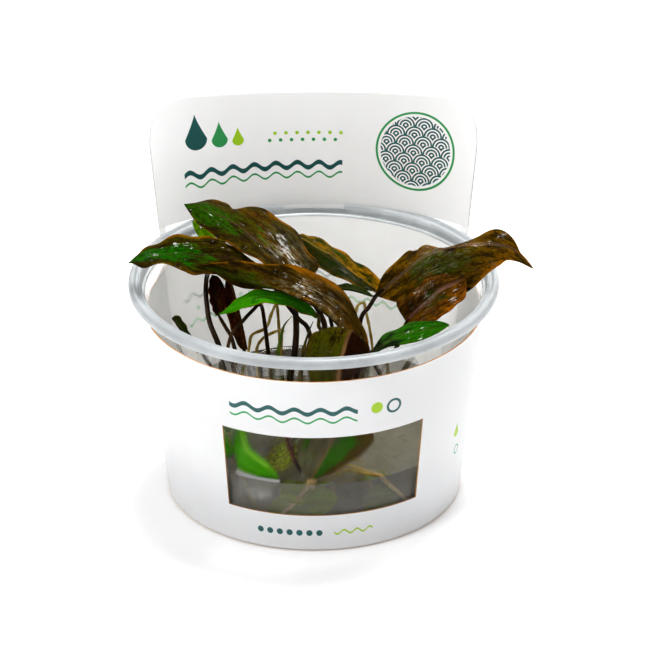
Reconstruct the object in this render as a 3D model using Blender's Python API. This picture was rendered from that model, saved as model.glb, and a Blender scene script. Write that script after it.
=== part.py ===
"""A water plant grown in a clear round cup: leaves on their stalks rise from small crowns that
stand in nutrient gel, and a printed card sleeve is wrapped round the cup and rises into a header
behind it. Sizes are in millimetres until a mesh is made, and Z is up from the base of the cup."""

import math

import bmesh
import bpy
import numpy as np

MM = 0.001
GAP = 0.3
WIDE_GAP = 0.4

# Cup, turned about Z
CUP_HEIGHT = 62.9
RIM_RADIUS = 50.5
RIM_THICKNESS = 3.0
BEAD_WIDTH = 1.6
LAND_WIDTH = 1.6
BASE_RADIUS = 39.7
WALL_SLOPE = 0.105
WALL = 0.7
FLOOR = 1.0
CUP_SIDES = 56
FOOT_ROUND = 1.0
RIM_ROUND = 0.6
GROOVE = 0.4

# Nutrient gel
GEL_TOP = 20.0

# Card sleeve: a band round the cup, and a header that stands up behind it
CARD = 0.45
BAND_BOTTOM = 0.6
BAND_TOP = 54.4
SLIT_BOTTOM = 59.1
HEADER_BOTTOM = 63.4
HEADER_TOP = 96.2
TAB_DROP = 1.3
TAB_ANGLE = 10.8
HEADER_ANGLE = 55.8
SLIT_ANGLE = 53.4
HEADER_HALF_WIDTH = 46.8
HEADER_CORNER = 11.0
HEADER_TOP_DEPTH = 49.0
HEADER_TOP_BEND = 170.0
HEADER_FOOT_DEPTH = 45.2
HEADER_FOOT_SPREAD = 6.1
SIDE_BULGE = 5.6
BULGE_WIDTH = 10.0
BULGE_START = 30.0
WINDOW_BOTTOM = 11.6
WINDOW_TOP = 36.8
WINDOW_LEFT = 213.6
WINDOW_RIGHT = 138.7
CORNER_ANGLES = (17.5, 24.0, 31.0, 38.0, 43.0, 46.2, 49.0, 51.4)
BAND_LEVELS = (BAND_BOTTOM, WINDOW_BOTTOM, WINDOW_TOP, 46.0, BAND_TOP, SLIT_BOTTOM)
HEADER_RISES = (0.0, 0.3, 0.62, 1.0)

# Crowns, where stalks and roots meet at the gel: the middle of each, its radius, and how far it
# rises over the gel
CROWNS = {
    "left": (-19.0, -1.0, 2.9, 1.2),
    "middle": (-1.5, -3.0, 2.9, 1.2),
    "back": (-9.0, 4.0, 2.9, 1.2),
    "right": (10.5, 5.0, 2.9, 1.2),
    "front": (-0.6, -37.4, 1.6, 0.4),
    "front_right": (9.5, -20.0, 2.9, 1.2),
}
CROWN_DEPTH = 3.0
CROWN_SIDES = 10
FOOT_RING = 1.9
FOOT_LENGTH = 2.0
STALK_RINGS = 9
STALK_TAPER = 0.75
SHOOT_RINGS = 7
SHOOT_TAPER = 0.3

BLADE = 0.45
BLADE_ROWS = 9
BLADE_COLUMNS = 2

# Each leaf: the midrib from base to tip, the way its upper side faces, and for either half its
# width and its tilt in degrees at the base, the middle and the tip. The blade is widest at a share
# of its length, and a small tip number makes a rounder tip. The stalk gives its crown, its place
# round the crown in degrees, the points that it passes, and its radius.
LEAVES = {
    "back_left": {
        "midrib": [(-3.7, -2, 61.3), (-8.3, 3, 65.2), (-16.3, 9, 70.5), (-22.6, 13, 73.6),
                   (-29.6, 16, 75.7), (-35.5, 18, 76.3)],
        "face": (-0.25, -0.45, 0.85),
        "left": (9.0, 62, 34, -20),
        "right": (13.4, -46, -35, -45),
        "wide_at": 0.32, "tip": 0.62,
        "stalk": ("middle", 330, [(2.0, -4.0, 34), (3.0, -4.0, 48.0), (2.0, -3.5, 52.6),
                                  (-0.7, -3.0, 57.5)], 0.8),
    },
    "small_left": {
        "midrib": [(-24.7, 16, 65.4), (-27.7, 17, 66.7), (-30.4, 18, 68.7), (-33.2, 19, 70.6)],
        "face": (0, -0.6, 0.8),
        "left": (2.8, 10, 10, 10),
        "right": (2.8, 25, 25, 25),
        "wide_at": 0.5, "tip": 0.7,
        "stalk": ("left", 170, [(-23.0, -2.0, 33), (-26.1, -8.0, 46.7), (-28.3, -5.0, 51.3),
                                (-29.1, -2.0, 55.3), (-29.4, 1.0, 59.3), (-28.6, 6.0, 62.0)], 0.7),
    },
    "left": {
        "midrib": [(-16.7, 0, 67.3), (-23.8, 0, 68.9), (-30.8, -1, 70.0), (-37.5, -2, 70.9),
                   (-44.2, -4, 70.9), (-50.0, -5, 69.9)],
        "face": (-0.1, -0.45, 0.9),
        "left": (7.7, -20, 13, 30),
        "right": (6.6, 14, -3, -25),
        "wide_at": 0.54, "tip": 0.8,
        "stalk": ("middle", 60, [(0.0, -0.5, 33), (-1.3, -1.0, 46.5), (-4.1, -1.0, 50.4), (-6.8, 0.0, 53.6),
                                (-11.4, 1.0, 60.1)], 0.6),
    },
    "long": {
        "midrib": [(12.9, -31, 50.9), (10.2, -28, 56.2), (6.0, -25, 61.9), (-0.2, -21, 65.0),
                   (-7.7, -17, 66.6), (-14.1, -14, 66.7), (-20.6, -11, 67.9), (-26.6, -9, 69.4),
                   (-32.3, -8, 69.8)],
        "face": (0.1, -0.4, 0.9),
        "left": (5.5, -110, -150, -60),
        "right": (10.8, -37, 0, 55),
        "wide_at": 0.36, "tip": 1.15,
        "stalk": ("front_right", 300, [(11, -22, 30), (12, -26, 41)], 0.8),
    },
    "back": {
        "midrib": [(-5.5, 18, 66.4), (-2.5, 18.5, 65.4), (1.6, 19, 62.2), (6.0, 19, 59.3),
                   (10.1, 19, 55.4), (14.8, 19, 51.5), (19.5, 18.5, 48.3)],
        "face": (0.2, -0.2, 0.95),
        "left": (6.2, -14, -8, 25),
        "right": (7.0, -33, 2, 23),
        "wide_at": 0.43, "tip": 0.5,
        "stalk": ("back", 50, [(-5.6, 7, 34), (-4.9, 9, 44), (-6.2, 13.5, 54), (-8.6, 16.5, 61.5),
                               (-7.9, 17.6, 65.6)], 0.8),
    },
    "right": {
        "midrib": [(17.3, 5, 54.7), (24.1, 3, 62.1), (29.2, 0, 68.5), (35.0, -2, 72.0),
                   (43.6, -5, 75.1), (51.6, -7, 75.3), (55.6, -8, 73.1), (58.9, -9, 69.4)],
        "face": (-0.2, -0.35, 0.9),
        "left": (7.6, 75, -30, 90),
        "right": (14.0, -15, -52, -50),
        "wide_at": 0.42, "tip": 1.3,
        "stalk": ("right", 300, [(12.0, 3.5, 38), (12.9, 3.2, 48.3), (15.1, 4.0, 51.5)], 0.65),
    },
    "right_lower": {
        "midrib": [(25.2, -7, 52.4), (27.6, -8, 56.0), (30.9, -9, 59.8), (33.7, -10, 63.3),
                   (37.5, -11, 66.0), (41.0, -11, 68.0)],
        "face": (-0.2, -0.5, 0.8),
        "left": (8.2, 60, 45, 18),
        "right": (8.5, 35, 10, -30),
        "wide_at": 0.38, "tip": 0.6,
        "stalk": ("right", 0, [(16, 3, 29), (22.5, -4, 43)], 0.65),
    },
    "right_front": {
        "midrib": [(15.2, -31, 55.0), (18.5, -30.5, 57.8), (21.5, -29.5, 59.1), (24.5, -28.5, 60.0),
                   (28.7, -27, 60.2), (33.0, -25.5, 60.3), (36.3, -24, 60.3)],
        "face": (0, -0.5, 0.86),
        "left": (3.9, -30, -28, 3),
        "right": (4.1, 12, 6, 12),
        "wide_at": 0.5, "tip": 1.0,
        "stalk": ("front_right", 0, [(15, -21, 30), (18, -26, 43)], 0.6),
    },
    "young": {
        "midrib": [(1.2, -14, 57.9), (-3.1, -14, 60.9), (-7.7, -14, 62.7), (-13.9, -14, 63.7),
                   (-19.0, -14, 62.5), (-22.6, -14, 60.4), (-25.8, -14, 58.6)],
        "face": (0, -0.5, 0.86),
        "left": (4.1, 17, 30, -14),
        "right": (3.5, -5, -8, -28),
        "wide_at": 0.42, "tip": 0.9,
        "stalk": ("middle", 265, [(-0.5, -6.5, 34), (1.9, -9.0, 49.3), (1.3, -12.0, 53.9)], 0.6),
    },
    "folded": {
        "midrib": [(5.4, -29, 36.7), (6.7, -32.5, 48.8), (7.8, -36, 58.0), (8.8, -36, 61.6),
                   (9.6, -33.5, 63.2), (9.8, -31, 61.5)],
        "face": (0, -1, 0.2),
        "left": (10.0, 12, 8, 5),
        "right": (5.5, 50, 45, 30),
        "wide_at": 0.6, "tip": 0.55,
        "stalk": ("front_right", 220, [(6, -23, 28)], 0.7),
    },
    "slim": {
        "midrib": [(5.5, 6, 56.4), (8.6, 6.5, 56.4), (11.9, 8, 54.9), (16.6, 10.2, 51.9)],
        "face": (0, -0.3, 0.95),
        "left": (2.4, 20, 15, 10),
        "right": (2.4, 20, 15, 10),
        "wide_at": 0.45, "tip": 0.9,
        "stalk": ("right", 180, [(7.0, 3.5, 33), (5.2, 3.5, 44.5), (3.9, 4.8, 51.5),
                                 (4.3, 5.6, 55.4)], 0.55),
    },
    "upright": {
        "midrib": [(-25.9, -2, 52.2), (-26.6, -1, 56.3), (-27.2, 0, 59.5), (-27.4, 1, 62.9)],
        "face": (0.5, -0.85, 0),
        "left": (2.6, 40, 35, 30),
        "right": (2.6, 40, 35, 30),
        "wide_at": 0.45, "tip": 0.7,
        "stalk": ("left", 285, [(-19.8, -4.2, 33), (-22.2, -4.5, 45.6), (-24.0, -3.0, 48.8)], 0.6),
    },
    "upright_slim": {
        "midrib": [(-19.1, -3, 42.0), (-19.9, -2, 47.6), (-21.0, -1, 53.3), (-22.3, 0, 58.9),
                   (-23.3, 1, 62.0)],
        "face": (-0.7, -0.7, 0),
        "left": (2.6, 45, 40, 30),
        "right": (2.6, 45, 40, 30),
        "wide_at": 0.5, "tip": 0.7,
        "stalk": ("left", 345, [(-17.2, -2.6, 32)], 0.6),
    },
    "wall": {
        "midrib": [(-31.0, -10, 45.6), (-34.3, -14, 52.0), (-36.3, -16, 56.3), (-37.8, -17.5, 59.2)],
        "face": (0.7, -0.3, 0.65),
        "left": (2.6, 15, 15, 15),
        "right": (2.6, 15, 15, 15),
        "wide_at": 0.5, "tip": 0.6,
        "stalk": ("left", 230, [(-23.0, -5, 31), (-28.0, -8.5, 40)], 0.5),
    },
    "window_left": {
        "midrib": [(-20.3, -32.5, 38.7), (-19.6, -35.2, 33.0), (-18.0, -36.8, 28.4), (-14.9, -37.4, 25.6),
                   (-11.8, -38.0, 22.9), (-10.2, -38.6, 21.3)],
        "face": (-0.45, -0.8, 0.35),
        "left": (2.7, 25, 20, 10),
        "right": (4.4, -15, -36, -30),
        "wide_at": 0.58, "tip": 0.6,
        "stalk": ("back", 200, [(-12.0, 1.5, 33), (-13.4, -3, 50), (-14.4, -8.0, 58.4), (-16.6, -11, 58.0),
                                (-19.0, -14, 56.6), (-22.6, -19, 53.6), (-23.5, -27, 46)], 0.5),
    },
    "window_side": {
        "midrib": [(-32.0, -20.0, 27.0), (-28.5, -24.5, 27.2), (-24.5, -28.5, 26.0), (-21.8, -30.5, 24.0)],
        "face": (-0.3, -0.8, 0.5),
        "left": (3.0, 10, 10, 10),
        "right": (2.8, 10, 10, 10),
        "wide_at": 0.55, "tip": 0.6,
    },
    "floating": {
        "midrib": [(-5.8, -19.5, 22.8), (-7.2, -24.0, 22.1), (-9.3, -29.2, 21.7), (-11.2, -34.0, 21.4)],
        "face": (0, 0, 1),
        "left": (4.2, 8, 5, 0),
        "right": (4.2, 8, 5, 0),
        "wide_at": 0.55, "tip": 0.5,
        "stalk": ("front_right", 165, [(4.5, -19, 24.5), (-1.0, -17.8, 24.6)], 0.5),
    },
    "window_middle": {
        "midrib": [(-0.6, -38.4, 21.1), (0.2, -38.3, 23.4), (3.0, -37.6, 28.0), (4.5, -37.0, 31.2),
                   (5.8, -36.0, 35.6), (6.4, -34.5, 39.6)],
        "face": (0.1, -0.95, 0.3),
        "left": (8.0, 8, 8, 8),
        "right": (9.6, 15, 12, 8),
        "wide_at": 0.62, "tip": 0.6,
    },
}

GREEN_LEAVES = ("small_left", "young", "right_front", "window_left", "window_side", "floating",
                "window_middle")

# Rolled young leaves with no blade yet: crown, place round it, points and radius
SHOOTS = {
    "shoot_green": ("back", 285, [(-9.0, -0.5, 33), (-9.8, -6.0, 42.0), (-9.1, -6.0, 46.6),
                                  (-8.1, -7.0, 51.4), (-5.9, -9.0, 55.4)], 0.55),
    "shoot_olive": ("middle", 205, [(-3.8, -5, 33), (-3.0, -8.0, 43.0), (-2.4, -8.0, 46.4),
                                    (-1.3, -8.0, 50.3), (-0.2, -8.0, 53.2)], 0.6),
}

# Roots that wander over the gel and between the stalks
ROOTS = {
    "root_left": [(-17.5, 6.5, 20.9), (-18.5, 6.5, 32), (-17.8, 4.4, 39.4), (-17.0, 7.0, 41.6),
                  (-13.2, 8.0, 43.2), (-11.8, 9.0, 46.7), (-10.4, 10.0, 49.4), (-10.0, 14, 45),
                  (-9.5, 16, 33), (-9.5, 17, 20.9)],
    "root_middle": [(-15.0, 11.0, 20.9), (-16.0, 10.0, 34), (-14.3, 5.0, 41.2), (-10.7, 6.0, 43.0),
                    (-8.6, 7.6, 42.6), (-9.0, 11, 38), (-9.0, 14.0, 20.9)],
    "root_right": [(11.0, 9.5, 20.9), (11.0, 11.5, 38), (11.8, 13.0, 46.6), (13.8, 14.0, 47.8),
                   (14.2, 14.2, 46.0), (16, 13.5, 36), (17, 13, 20.9)],
    "root_front": [(5.6, -34.6, 20.9), (9.7, -33.5, 21.3), (14.3, -35.4, 21.2), (18.0, -36.0, 20.9)],
}
ROOT_RADIUS = 0.45
TUBE_SIDES = 5


def clear_scene():
    for item in list(bpy.data.objects):
        bpy.data.objects.remove(item, do_unlink=True)


def material(name, colour, roughness, transmission=0.0):
    made = bpy.data.materials.new(name)
    made.use_nodes = True
    shader = made.node_tree.nodes["Principled BSDF"]
    shader.inputs["Base Color"].default_value = (*colour, 1.0)
    shader.inputs["Roughness"].default_value = roughness
    shader.inputs["Metallic"].default_value = 0.0
    shader.inputs["Transmission Weight"].default_value = transmission
    return made


def add_solid(name, points, faces, finish):
    """One closed mesh object from millimetre points, with its faces turned outwards."""
    mesh = bpy.data.meshes.new(name)
    mesh.from_pydata([tuple(MM * value for value in point) for point in points], [], faces)
    shape = bmesh.new()
    shape.from_mesh(mesh)
    bmesh.ops.recalc_face_normals(shape, faces=shape.faces)
    if shape.calc_volume(signed=True) < 0:
        bmesh.ops.reverse_faces(shape, faces=shape.faces)
    shape.to_mesh(mesh)
    shape.free()
    mesh.shade_smooth()
    mesh.set_sharp_from_angle(angle=math.radians(35))
    mesh.materials.append(finish)
    solid = bpy.data.objects.new(name, mesh)
    bpy.context.scene.collection.objects.link(solid)
    return solid


def turned(profile, sides, centre=(0.0, 0.0)):
    """Points and faces of a profile of (radius, height) turned about an upright axis. A radius of
    zero becomes one point on the axis."""
    points = []
    rings = []
    for radius, height in profile:
        if radius == 0:
            rings.append([len(points)] * sides)
            points.append((centre[0], centre[1], height))
            continue
        rings.append(list(range(len(points), len(points) + sides)))
        for step in range(sides):
            angle = 2 * math.pi * step / sides
            x = centre[0] + radius * math.cos(angle)
            y = centre[1] + radius * math.sin(angle)
            points.append((x, y, height))
    faces = []
    for lower, upper in zip(rings, rings[1:]):
        for step in range(sides):
            after = (step + 1) % sides
            corners = [lower[step], lower[after], upper[after], upper[step]]
            faces.append(list(dict.fromkeys(corners)))
    return points, faces


def unit(vectors):
    return vectors / np.linalg.norm(vectors, axis=-1, keepdims=True)


def smooth_path(corners, count):
    """Points at even distances along a smooth curve through the corners, and its directions."""
    p = np.array(corners, float)
    p = np.vstack([2 * p[0] - p[1], p, 2 * p[-1] - p[-2]])
    curve = []
    for a, b, c, d in zip(p, p[1:], p[2:], p[3:]):
        for u in np.linspace(0, 1, 24, endpoint=False):
            curve.append(0.5 * (2 * b + (c - a) * u + (2 * a - 5 * b + 4 * c - d) * u**2
                                + (3 * b - a - 3 * c + d) * u**3))
    curve = np.array(curve + [p[-2]])
    ahead = unit(np.gradient(curve, axis=0))
    along = np.concatenate([[0], np.cumsum(np.linalg.norm(np.diff(curve, axis=0), axis=1))])
    stops = np.linspace(0, along[-1], count)
    points, directions = (np.stack([np.interp(stops, along, line[:, axis]) for axis in range(3)], axis=-1)
                          for line in (curve, ahead))
    return points, unit(directions)


def tube(path, ahead, radii, sides=TUBE_SIDES):
    """Points and faces of a closed tube along a path, with one radius for each point."""
    side = np.array([0.0, 1.0, 0.3])
    points = []
    for centre, forward, radius in zip(path, ahead, radii):
        side = unit(side - forward * np.dot(side, forward))
        up = np.cross(forward, side)
        for step in range(sides):
            angle = 2 * math.pi * step / sides
            points.append(centre + radius * (math.cos(angle) * side + math.sin(angle) * up))
    faces = []
    for ring in range(len(path) - 1):
        for step in range(sides):
            after = (step + 1) % sides
            low, high = ring * sides, (ring + 1) * sides
            faces.append([low + step, low + after, high + after, high + step])
    faces.append(list(range(sides))[::-1])
    faces.append(list(range(len(points) - sides, len(points))))
    return points, faces


def shell(outer, inner, cells):
    """Points and faces of the sheet between two skins, closed along every edge. Each skin gives a
    point for a key, and each cell lists its four keys in order."""
    place = {key: order for order, key in enumerate(outer)}
    count = len(place)
    points = list(outer.values()) + [inner[key] for key in outer]
    faces = []
    edges = set()
    for cell in cells:
        corners = [place[key] for key in cell]
        faces.append(corners)
        faces.append([count + corner for corner in reversed(corners)])
        edges.update(zip(corners, corners[1:] + corners[:1]))
    for first, second in sorted(edges):
        if (second, first) not in edges:
            faces.append([second, first, count + first, count + second])
    return points, faces


def between(values, share):
    """The curve through three values at the base, the middle and the tip."""
    base, middle, tip = values
    from_base = (1 - share) * (1 - 2 * share)
    from_middle = 4 * share * (1 - share)
    return base * from_base + middle * from_middle + tip * share * (2 * share - 1)


def blade(leaf, rows=BLADE_ROWS, columns=BLADE_COLUMNS):
    """The upper side of a blade as a grid, from the right margin over the midrib to the left."""
    spine, ahead = smooth_path(leaf["midrib"], rows)
    share = np.linspace(0, 1, rows)
    left = unit(np.cross(np.array(leaf["face"], float), ahead))
    up = np.cross(ahead, left)
    widest, point = leaf["wide_at"], leaf["tip"]
    swell = point * widest / (1 - widest)
    outline = (share / widest) ** swell * ((1 - share) / (1 - widest)) ** point
    halves = {}
    for name, sign in (("left", 1), ("right", -1)):
        widest_half, *tilts = leaf[name]
        tilt = np.radians(between(tilts, share))[:, None]
        out = sign * np.cos(tilt) * left + np.sin(tilt) * up
        width = np.maximum(widest_half * outline, 0.5 - 0.3 * share)[:, None]
        halves[name] = [spine + width * out * step / columns for step in range(1, columns + 1)]
    return np.stack(halves["right"][::-1] + [spine] + halves["left"], axis=1)


def blade_solid(leaf):
    grid = blade(leaf)
    along = np.gradient(grid, axis=0)
    across = np.gradient(grid, axis=1)
    under = grid - BLADE * unit(np.cross(along, across))
    rows, columns = grid.shape[:2]
    keys = [(row, column) for row in range(rows) for column in range(columns)]
    cells = [((row, column), (row, column + 1), (row + 1, column + 1), (row + 1, column))
             for row in range(rows - 1) for column in range(columns - 1)]
    return shell({key: grid[key] for key in keys}, {key: under[key] for key in keys}, cells)


def crown_foot(name, turn):
    """Where a stalk stands on a crown, a gap above it."""
    x, y, _, rise = CROWNS[name]
    angle = math.radians(turn)
    height = GEL_TOP + rise + WIDE_GAP
    return (x + FOOT_RING * math.cos(angle), y + FOOT_RING * math.sin(angle), height)


def stalk(route, leaf=None):
    """The tube from a crown through its points. A leaf's stalk ends a gap short of its blade, in
    line with the midrib, and a shoot tapers to a tip."""
    crown, turn, points, radius = route
    foot = crown_foot(crown, turn)
    corners = [foot, (foot[0], foot[1], foot[2] + FOOT_LENGTH), *points]
    if leaf is None:
        path, ahead = smooth_path(corners, SHOOT_RINGS)
        return tube(path, ahead, radius * np.linspace(1.0, SHOOT_TAPER, SHOOT_RINGS))
    midrib, heading = smooth_path(leaf["midrib"], BLADE_ROWS)
    corners.append(midrib[0] - WIDE_GAP * heading[0])
    path, ahead = smooth_path(corners, STALK_RINGS)
    ahead[-1] = heading[0]
    return tube(path, ahead, radius * np.linspace(1.0, STALK_TAPER, STALK_RINGS))


def wall_radius(height):
    """The radius of the outside of the cup's wall."""
    return BASE_RADIUS + WALL_SLOPE * height


def make_cup(finish):
    wall_top = CUP_HEIGHT - RIM_THICKNESS
    bead = RIM_RADIUS - BEAD_WIDTH
    land = bead - LAND_WIDTH
    outside = [(0, 0), (BASE_RADIUS - FOOT_ROUND, 0), (BASE_RADIUS, FOOT_ROUND),
               (wall_radius(wall_top), wall_top)]
    rim = [(RIM_RADIUS - RIM_ROUND, wall_top), (RIM_RADIUS, wall_top + RIM_ROUND),
           (RIM_RADIUS, CUP_HEIGHT - RIM_ROUND), (RIM_RADIUS - RIM_ROUND, CUP_HEIGHT),
           (bead, CUP_HEIGHT), (bead - GROOVE, CUP_HEIGHT - 2 * GROOVE),
           (land + GROOVE, CUP_HEIGHT - GROOVE), (land, CUP_HEIGHT - RIM_ROUND)]
    floor_edge = FLOOR + FOOT_ROUND
    inside = [(wall_radius(wall_top) - WALL + GROOVE / 2, wall_top - 2 * GROOVE),
              (wall_radius(floor_edge) - WALL, floor_edge), (BASE_RADIUS - WALL - FOOT_ROUND, FLOOR),
              (0, FLOOR)]
    points, faces = turned(outside + rim + inside, CUP_SIDES)
    return add_solid("cup", points, faces, finish)


def make_gel(finish):
    """A disc of gel that fills the foot of the cup, with a pocket round each crown."""
    bottom = FLOOR + GAP
    floor_edge = FLOOR + FOOT_ROUND + GAP
    inset = WALL + GAP
    profile = [(0, bottom), (wall_radius(bottom) - inset - FOOT_ROUND - GAP, bottom),
               (wall_radius(floor_edge) - inset, floor_edge), (wall_radius(GEL_TOP) - inset, GEL_TOP),
               (0, GEL_TOP)]
    points, faces = turned(profile, CUP_SIDES)
    gel = add_solid("nutrient_gel", points, faces, finish)
    for name, (x, y, radius, _) in CROWNS.items():
        bottom = GEL_TOP - CROWN_DEPTH - GAP
        above = GEL_TOP + FOOT_LENGTH
        pocket = [(0, bottom), (radius + GAP, bottom), (radius + GAP, above), (0, above)]
        points, faces = turned(pocket, CROWN_SIDES, (x, y))
        cutter = add_solid("pocket_" + name, points, faces, finish)
        cutter.hide_render = True
        cutter.display_type = "WIRE"
        cut = gel.modifiers.new("pocket_" + name, "BOOLEAN")
        cut.operation = "DIFFERENCE"
        cut.object = cutter
    return gel


def make_crown(name, finish):
    """A short stub that narrows at its foot and has a rounded top edge."""
    x, y, radius, rise = CROWNS[name]
    top = GEL_TOP + rise
    profile = [(0, GEL_TOP - CROWN_DEPTH), (0.6 * radius, GEL_TOP - CROWN_DEPTH), (radius, GEL_TOP - 0.8),
               (radius, GEL_TOP + rise / 2), (0.9 * radius, top), (0, top)]
    points, faces = turned(profile, CROWN_SIDES, (x, y))
    return add_solid("crown_" + name, points, faces, finish)


def sleeve_columns():
    """Angles from the back, where columns of the card's grid stand. They fall on the edges of the
    window, the tab, the slit and the header, and stand closer where the header's corners curve."""
    side = (SLIT_ANGLE + HEADER_ANGLE) / 2
    half = [TAB_ANGLE / 2, TAB_ANGLE, *CORNER_ANGLES, SLIT_ANGLE, side, HEADER_ANGLE]
    back = [-angle for angle in half[::-1]] + [0] + half
    right = list(np.linspace(HEADER_ANGLE, WINDOW_RIGHT, 13))[1:]
    window = list(np.linspace(WINDOW_RIGHT, WINDOW_LEFT, 13))[1:]
    left = list(np.linspace(WINDOW_LEFT, 360 - HEADER_ANGLE, 14))[1:-1]
    return back + right + window + left


def band_point(angle, height):
    """The card's mid surface round the cup. Beside the slit it bows out to clear the rim."""
    away = min(abs(angle), abs(360 - angle))
    ease = min(max((height - BULGE_START) / (HEADER_BOTTOM - BULGE_START), 0), 1) ** 1.6
    bow = SIDE_BULGE * ease * math.exp(-(((away - SLIT_ANGLE - 1) / BULGE_WIDTH) ** 2))
    radius = wall_radius(height) + GAP + CARD / 2 + bow
    turn = math.radians(angle)
    return np.array([radius * math.sin(turn), radius * math.cos(turn), height])


def header_point(angle, rise):
    """The header: straight lines from its foot, curved round the rim, to its flatter top edge.
    Rise runs from 0 at the foot to 1 at the top edge, which drops at the rounded corners."""
    share = angle / HEADER_ANGLE
    radius = HEADER_FOOT_DEPTH + HEADER_FOOT_SPREAD * (angle / SLIT_ANGLE) ** 2
    turn = math.radians(angle)
    foot = np.array([radius * math.sin(turn), radius * math.cos(turn), HEADER_BOTTOM])
    across = share * HEADER_HALF_WIDTH
    depth = HEADER_TOP_DEPTH - HEADER_TOP_BEND + math.sqrt(HEADER_TOP_BEND**2 - across**2)
    top = np.array([across, depth, HEADER_TOP])
    into_corner = max(abs(across) - (HEADER_HALF_WIDTH - HEADER_CORNER), 0)
    drop = HEADER_CORNER - math.sqrt(max(HEADER_CORNER**2 - into_corner**2, 0))
    reach = 1 - drop / (HEADER_TOP - HEADER_BOTTOM)
    return foot + (top - foot) * rise * reach


def sleeve_point(angle, level):
    """A point of the card's mid surface. Levels 0 to 5 climb the band to the slit, level 6 is the
    lower edge of the tab or the middle of the strip beside the slit, and 7 on are the header."""
    if level < len(BAND_LEVELS):
        return band_point(angle, BAND_LEVELS[level])
    if level > len(BAND_LEVELS):
        return header_point(angle, HEADER_RISES[level - len(BAND_LEVELS) - 1])
    foot = header_point(angle, 0.0)
    if abs(angle) <= TAB_ANGLE:
        return foot - np.array([0, 0, TAB_DROP])
    return (band_point(angle, SLIT_BOTTOM) + foot) / 2


def sleeve_has(level, left, right):
    """Whether the card fills the cell between two columns above a level."""
    in_window = left >= WINDOW_RIGHT and right <= WINDOW_LEFT
    behind = right <= HEADER_ANGLE
    beside_slit = behind and min(abs(left), abs(right)) >= SLIT_ANGLE
    if level == 1:
        return not in_window
    if level < 4:
        return True
    if level == 5:
        return beside_slit
    if level == 6:
        return beside_slit or max(abs(left), abs(right)) <= TAB_ANGLE
    return behind


def make_sleeve(finish):
    """The card sleeve, one sheet: a band with a window, a slit that the rim pokes through, and
    the header above the slit with a tab in the middle of its lower edge."""
    columns = sleeve_columns()
    levels = len(BAND_LEVELS) + 1 + len(HEADER_RISES)
    outer, inner, cells = {}, {}, []
    for place, left in enumerate(columns):
        after = (place + 1) % len(columns)
        right = columns[after] if after else columns[0] + 360
        for level in range(levels - 1):
            if sleeve_has(level, left, right):
                cells.append(((level, place), (level, after), (level + 1, after), (level + 1, place)))
    for level, place in sorted({key for cell in cells for key in cell}):
        angle = columns[place]
        centre = sleeve_point(angle, level)
        run = sleeve_point(angle + 0.5, level) - sleeve_point(angle - 0.5, level)
        out = unit(np.array([-run[1], run[0], 0.0]))
        outer[level, place] = centre + out * CARD / 2
        inner[level, place] = centre - out * CARD / 2
    points, faces = shell(outer, inner, cells)
    return add_solid("card_sleeve", points, faces, finish)


def main():
    clear_scene()
    plastic = material("clear plastic", (0.86, 0.90, 0.90), 0.2, 0.9)
    gel = material("nutrient gel", (0.32, 0.31, 0.27), 0.15, 0.5)
    green = material("leaf green", (0.10, 0.22, 0.03), 0.35)
    bronze = material("leaf bronze", (0.16, 0.10, 0.03), 0.35)
    stem = material("stalk brown", (0.09, 0.05, 0.03), 0.4)
    root = material("root", (0.62, 0.50, 0.20), 0.5)
    card = material("printed card", (0.90, 0.90, 0.89), 0.45)
    make_cup(plastic)
    make_gel(gel)
    make_sleeve(card)
    for name in CROWNS:
        make_crown(name, root)
    for name, leaf in LEAVES.items():
        points, faces = blade_solid(leaf)
        add_solid("leaf_" + name, points, faces, green if name in GREEN_LEAVES else bronze)
        if "stalk" in leaf:
            points, faces = stalk(leaf["stalk"], leaf)
            add_solid("stalk_" + name, points, faces, stem)
    for name, route in SHOOTS.items():
        points, faces = stalk(route)
        add_solid(name, points, faces, green)
    for name, corners in ROOTS.items():
        path, ahead = smooth_path(corners, 2 * len(corners) + 1)
        points, faces = tube(path, ahead, [ROOT_RADIUS] * len(path))
        add_solid(name, points, faces, root)


main()
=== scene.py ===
"""Looks for a water plant grown in gel in a clear round cup, with a printed card sleeve and header.
Shapes are worked out in millimetres in the row frame and become metres when a mesh is made."""

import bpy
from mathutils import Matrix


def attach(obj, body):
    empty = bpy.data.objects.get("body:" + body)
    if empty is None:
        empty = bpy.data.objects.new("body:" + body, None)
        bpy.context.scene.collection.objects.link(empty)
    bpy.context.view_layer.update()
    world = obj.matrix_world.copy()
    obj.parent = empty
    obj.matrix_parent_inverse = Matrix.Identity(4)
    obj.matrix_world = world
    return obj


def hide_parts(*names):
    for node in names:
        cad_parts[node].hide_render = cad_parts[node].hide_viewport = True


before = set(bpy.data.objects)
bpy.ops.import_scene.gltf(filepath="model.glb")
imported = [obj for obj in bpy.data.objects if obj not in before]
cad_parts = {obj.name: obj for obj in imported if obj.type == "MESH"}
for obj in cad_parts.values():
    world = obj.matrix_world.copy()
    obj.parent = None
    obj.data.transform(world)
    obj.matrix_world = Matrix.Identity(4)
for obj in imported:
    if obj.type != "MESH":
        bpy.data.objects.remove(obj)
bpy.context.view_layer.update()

import math

import bmesh
import bpy
import numpy as np
from mathutils import Matrix, Vector

MM = 0.001


# Shader work

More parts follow.
